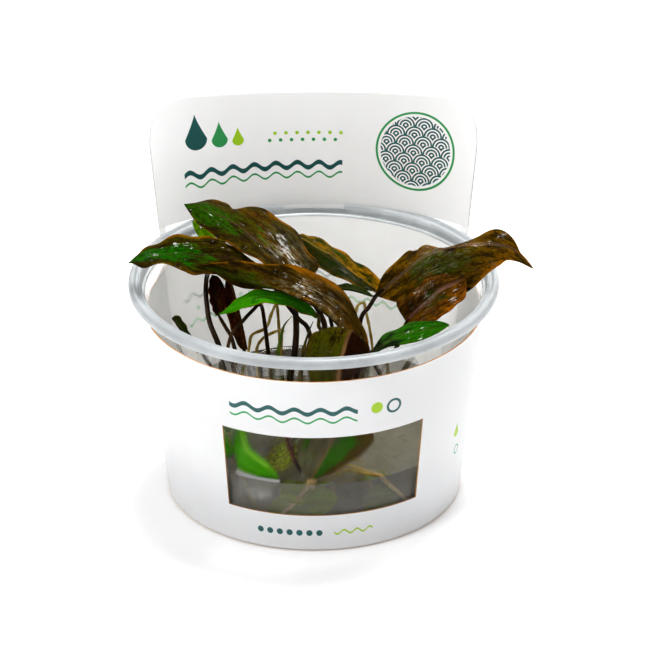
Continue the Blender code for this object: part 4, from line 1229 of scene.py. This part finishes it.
def sleeve_point(angle, row):
    """The middle of the card's thickness."""
    if row < TAB_ROW:
        return band_point(angle, BAND_ROWS[row])
    if row > TAB_ROW:
        return header_point(angle, HEADER_ROWS[row - TAB_ROW - 1])
    foot = header_point(angle, 0.0)
    if abs(angle) <= TAB_ANGLE:
        return foot - np.array([0, 0, TAB_DROP])
    return (band_point(angle, SLIT_BOTTOM) + foot) / 2


def has_card(row, left, right):
    """Whether the card fills the cell above a row, between two columns."""
    behind = right <= HEADER_ANGLE + NEAR and left >= -HEADER_ANGLE - NEAR
    beside_slit = behind and min(abs(left), abs(right)) >= SLIT_ANGLE - NEAR
    if row < TAB_ROW - 1:
        height = BAND_ROWS[row]
        in_window = WINDOW_RIGHT - NEAR <= left and right <= WINDOW_LEFT + NEAR and (
            WINDOW_BOTTOM - NEAR <= height < WINDOW_TOP - NEAR)
        return not in_window and (height < BAND_TOP - NEAR or behind)
    if row == TAB_ROW - 1:
        return beside_slit
    if row == TAB_ROW:
        return beside_slit or max(abs(left), abs(right)) <= TAB_ANGLE + NEAR
    return behind


def sleeve_cells(columns):
    """The four corners of every cell that has card, each as its row and column."""
    cells = []
    for column, left in enumerate(columns):
        after = (column + 1) % len(columns)
        right = columns[after] if after else columns[0] + 360
        for row in range(TAB_ROW + len(HEADER_ROWS)):
            if has_card(row, left, right):
                cells.append(((row, column), (row, after), (row + 1, after), (row + 1, column)))
    return cells


def sleeve_sides(columns, keys):
    """Points of the card's outer and inner side, and the maps that its printing is drawn on, in
    millimetres along the card from the middle of the front or the back."""
    outer, inner, front, back = [], [], [], []
    for row, column in keys:
        angle = columns[column]
        centre = sleeve_point(angle, row)
        run = sleeve_point(angle + 0.5, row) - sleeve_point(angle - 0.5, row)
        out = unit(np.array([-run[1], run[0], 0.0]))
        outer.append(centre + out * CARD / 2)
        inner.append(centre - out * CARD / 2)
        front.append(((180 - angle % 360) * MM_PER_DEGREE, centre[2]))
        back.append(((angle if angle < 180 else angle - 360) * MM_PER_DEGREE, centre[2]))
    return outer, inner, {"front": front * 2, "back": back * 2}


def make_sleeve():
    columns = sleeve_columns()
    cells = sleeve_cells(columns)
    keys = sorted({key for cell in cells for key in cell})
    number = {key: order for order, key in enumerate(keys)}
    outer, inner, maps = sleeve_sides(columns, keys)
    count = len(keys)
    faces, marks, edges = [], [], set()
    for cell in cells:
        corners = [number[key] for key in cell]
        header = cell[0][0] > TAB_ROW
        faces += [corners, [count + corner for corner in reversed(corners)]]
        marks += [HEADER_OUTSIDE, HEADER_INSIDE] if header else [BAND_OUTSIDE, BAND_INSIDE]
        edges.update(zip(corners, corners[1:] + corners[:1]))
    for first, second in sorted(edges):
        if (second, first) not in edges:
            faces.append([second, first, count + first, count + second])
            low = (outer[first][2] + outer[second][2]) / 2 < BAND_TOP + 0.1
            marks.append(CUT_EDGE if low else HEADER_OUTSIDE)
    piece = add_mesh("card", outer + inner, faces, card_finishes(), maps, marks)
    piece.data.set_sharp_from_angle(angle=math.radians(40))
    keep(piece, "printed_card", "card_sleeve")


# Printing on the card: plain ornaments of waves, dots, drops and scales, in millimetres

TEAL = colour(10, 92, 90)
LIME = colour(166, 200, 12)
GREEN = colour(47, 158, 92)
SOFT = 0.06


def distance(x, y, centre):
    return ((x - centre[0]) ** 2 + (y - centre[1]) ** 2).root()


def within(gap, reach):
    """1 where the gap is less than the reach, with a soft edge."""
    return gap.ease(reach + SOFT, reach - SOFT)


def disc(x, y, centre, radius):
    return within(distance(x, y, centre), radius)


def ring(x, y, centre, radius, width):
    return within(abs(distance(x, y, centre) - radius), width / 2)


def drop(x, y, centre, radius):
    """A drop that stands on its round end."""
    up = (y - centre[1]) / radius
    under = up.least(0.0)
    wide = (1 - under * under).most(0.0).root() * (1 - up / 2.3).held() ** 1.25
    gap = (abs(x - centre[0]) - wide * radius).most(up * radius - 2.3 * radius)
    return within(gap.most(-1.0 * radius - up * radius), 0)


def wave(x, y, centre, wide, height, length, width):
    lift = (x * (2 * math.pi / length)).sine() * height
    return within(abs(y - centre[1] - lift), width / 2) * within(abs(x - centre[0]), wide / 2)


def dots(x, y, centre, wide, pitch, radius, shift=0.0):
    x = x + shift
    u = ((x + 500 * pitch) % pitch) - pitch / 2
    gap = (u ** 2 + (y - centre[1]) ** 2).root()
    return within(gap, radius) * within(abs(x - centre[0]), wide / 2)


def scale_disc(x, y, centre, radius, size):
    """A disc of overlapping half rings, as on a roof of round tiles."""
    place = y * (2 / size)
    row = place.maths("FLOOR", place)
    shift = (row % 2.0) * (size / 2)
    u = ((x + shift) % size) - size / 2
    v = y - row * (size / 2)
    gap = (u ** 2 + v ** 2).root()
    rings = ((gap / (size * 0.5) * 3.0) % 1.0).ease(0.42, 0.5)
    return rings * disc(x, y, centre, radius)


FRONT_PRINT = (
    (wave, TEAL, (-6, 45.0), 36, 0.75, 7.0, 1.35), (wave, GREEN, (-6, 42.2), 36, 0.75, 7.0, 0.6),
    (disc, LIME, (17.5, 44.6), 1.7), (ring, TEAL, (22.6, 44.2), 1.9, 0.7),
    (dots, TEAL, (-7.5, 6.0), 21, 3.0, 0.95), (wave, LIME, (12, 6.0), 12, 0.6, 4.0, 0.6),
    (drop, LIME, (51, 25), 1.4), (ring, GREEN, (52.5, 19), 1.3, 0.4),
)
HEADER_PRINT = (
    (scale_disc, TEAL, (28.0, 80.6), 9.6, 5.0), (ring, GREEN, (28.0, 80.6), 10.6, 0.6),
    (wave, TEAL, (-14, 75.0), 44, 0.8, 6.0, 1.35), (wave, GREEN, (-14, 72.2), 44, 0.8, 6.0, 0.55),
    (drop, TEAL, (-32.0, 84.6), 3.0), (drop, GREEN, (-25.6, 83.8), 2.2), (drop, LIME, (-20.6, 83.2), 1.6),
    (dots, LIME, (-1.5, 84.4), 21, 3.0, 0.5), (dots, GREEN, (-1.5, 82.4), 21, 3.0, 0.5, 1.5),
)
INSIDE_PRINT = (
    (wave, TEAL, (0, 42.0), 84, 0.7, 5.0, 0.9), (dots, GREEN, (0, 38.4), 78, 3.0, 0.6),
    (wave, GREEN, (0, 34.8), 84, 0.7, 5.0, 0.9),
)


def card_finish(name, chart=None, marks=(), white=(240, 246), depth=1.2, strength=1.0):
    """White card with faint fibres, and marks printed on one of its maps."""
    card = Finish(name)
    place = card.object_place()
    fibres = card.noise(place, 1400.0, 4.0, 0.7)
    broad = card.noise(place, 35.0, 2.0)
    low, high = white
    tone = card.mix(broad.ease(0.35, 0.65) * 0.5 + fibres * 0.2, colour(low, low, low),
                    colour(high, high, high + 1))
    if chart:
        x, y, _ = card.parts(card.map_place(chart))
        for shape, ink, *sizes in marks:
            tone = card.mix(shape(x, y, *sizes) * strength, tone, ink)
    card.bump(fibres, 0.0002, 0.12)
    card.set(Base_Color=tone, Roughness=0.42 + fibres * 0.12, Coat_Weight=0.2, Coat_Roughness=0.3)
    card.set(Subsurface_Weight=0.85, Subsurface_Scale=depth * MM, Subsurface_Radius=(1.0, 0.97, 0.88))
    return card


def cut_edge_finish():
    """The brown core of the board where it is cut."""
    edge = Finish("card cut edge")
    fibres = edge.noise(edge.object_place(), 900.0, 3.0)
    edge.bump(fibres, 0.0002, 0.3)
    edge.set(Base_Color=edge.mix(fibres, colour(180, 124, 72), colour(212, 164, 108)), Roughness=0.8)
    return edge


def card_finishes():
    # The header's back gets a greyer white than the rest of the same board: painted shade that keeps it
    # from showing too bright
    return [card_finish("card plain", white=(198, 206), depth=0.5),
            card_finish("card front print", "front", FRONT_PRINT, (228, 236)),
            card_finish("card header print", "back", HEADER_PRINT, (238, 245), 1.1),
            card_finish("card inside print", "back", INSIDE_PRINT, (250, 253), 3.0, 0.6),
            cut_edge_finish()]


# Stage, light and camera, in metres

FLOOR_REACH = 4.0
# Each softbox has its place, the height above the origin that it faces, its sizes and its power
SOFTBOXES = {
    "key": ((-0.8, -0.7, 1.05), 0.05, (0.5, 0.5), 8.4),
    "fill": ((0.95, -0.55, 0.8), 0.05, (0.7, 0.7), 0.7),
    "top": ((0.12, 0.24, 1.16), 0.05, (0.4, 0.4), 11.5),
    "back": ((0.3, 1.08, 0.28), 0.05, (1.0, 0.3), 3.0),
    "rim": ((0.68, 0.68, 0.93), 0.06, (0.24, 0.24), 1.8),
}
LENS = 249.88
PITCH = 26.80
ROLL = -0.177
EYE = (0.002361, -1.092627, 0.600763)


def make_stage():
    mesh = bpy.data.meshes.new("floor")
    corners = [(-1, -1), (1, -1), (1, 1), (-1, 1)]
    mesh.from_pydata([(x * FLOOR_REACH, y * FLOOR_REACH, 0) for x, y in corners], [], [(0, 1, 2, 3)])
    floor = bpy.data.objects.new("floor", mesh)
    bpy.context.scene.collection.objects.link(floor)
    pale = Finish("floor paint")
    pale.set(Base_Color=(0.95, 0.95, 0.95), Roughness=0.9, Specular_IOR_Level=0.0)
    pale.set(Emission_Color=(1.0, 1.0, 1.0), Emission_Strength=0.15)
    mesh.materials.append(pale.material)


def make_light():
    world = bpy.data.worlds.new("studio")
    world.use_nodes = True
    backdrop = world.node_tree.nodes["Background"].inputs
    backdrop["Color"].default_value = (1.0, 1.0, 1.0, 1.0)
    backdrop["Strength"].default_value = 0.25
    bpy.context.scene.world = world
    for name, (place, height, sizes, power) in SOFTBOXES.items():
        light = bpy.data.lights.new(name, "AREA")
        light.shape = "RECTANGLE"
        light.size, light.size_y = sizes
        light.energy = power
        lamp = bpy.data.objects.new(name, light)
        lamp.location = place
        facing = Vector((0, 0, height)) - Vector(place)
        lamp.rotation_euler = facing.to_track_quat("-Z", "Y").to_euler()
        bpy.context.scene.collection.objects.link(lamp)
    view = bpy.context.scene.view_settings
    view.view_transform = "Standard"
    view.look = "Medium High Contrast"
    view.exposure = -0.1


def make_camera():
    pitch, roll = math.radians(PITCH), math.radians(ROLL)
    ahead = Vector((0, math.cos(pitch), -math.sin(pitch)))
    right = Vector((1, 0, 0))
    up = right.cross(ahead)
    right, up = (right * math.cos(roll) + up * math.sin(roll), up * math.cos(roll) - right * math.sin(roll))
    data = bpy.data.cameras.new("camera")
    data.sensor_width = 36.0
    data.lens = LENS
    data.clip_start, data.clip_end = 0.05, 20.0
    camera = bpy.data.objects.new("camera", data)
    camera.matrix_world = Matrix((
        (right.x, up.x, -ahead.x, EYE[0]), (right.y, up.y, -ahead.y, EYE[1]),
        (right.z, up.z, -ahead.z, EYE[2]), (0, 0, 0, 1)))
    bpy.context.scene.collection.objects.link(camera)
    bpy.context.scene.camera = camera


def main():
    make_camera()
    make_light()
    make_stage()
    make_cup()
    make_gel()
    make_sleeve()
    growth = strand_growth()
    make_leaves(bead_growth())
    make_stems(growth)
    make_roots(growth)
    make_sunk_leaves()


main()
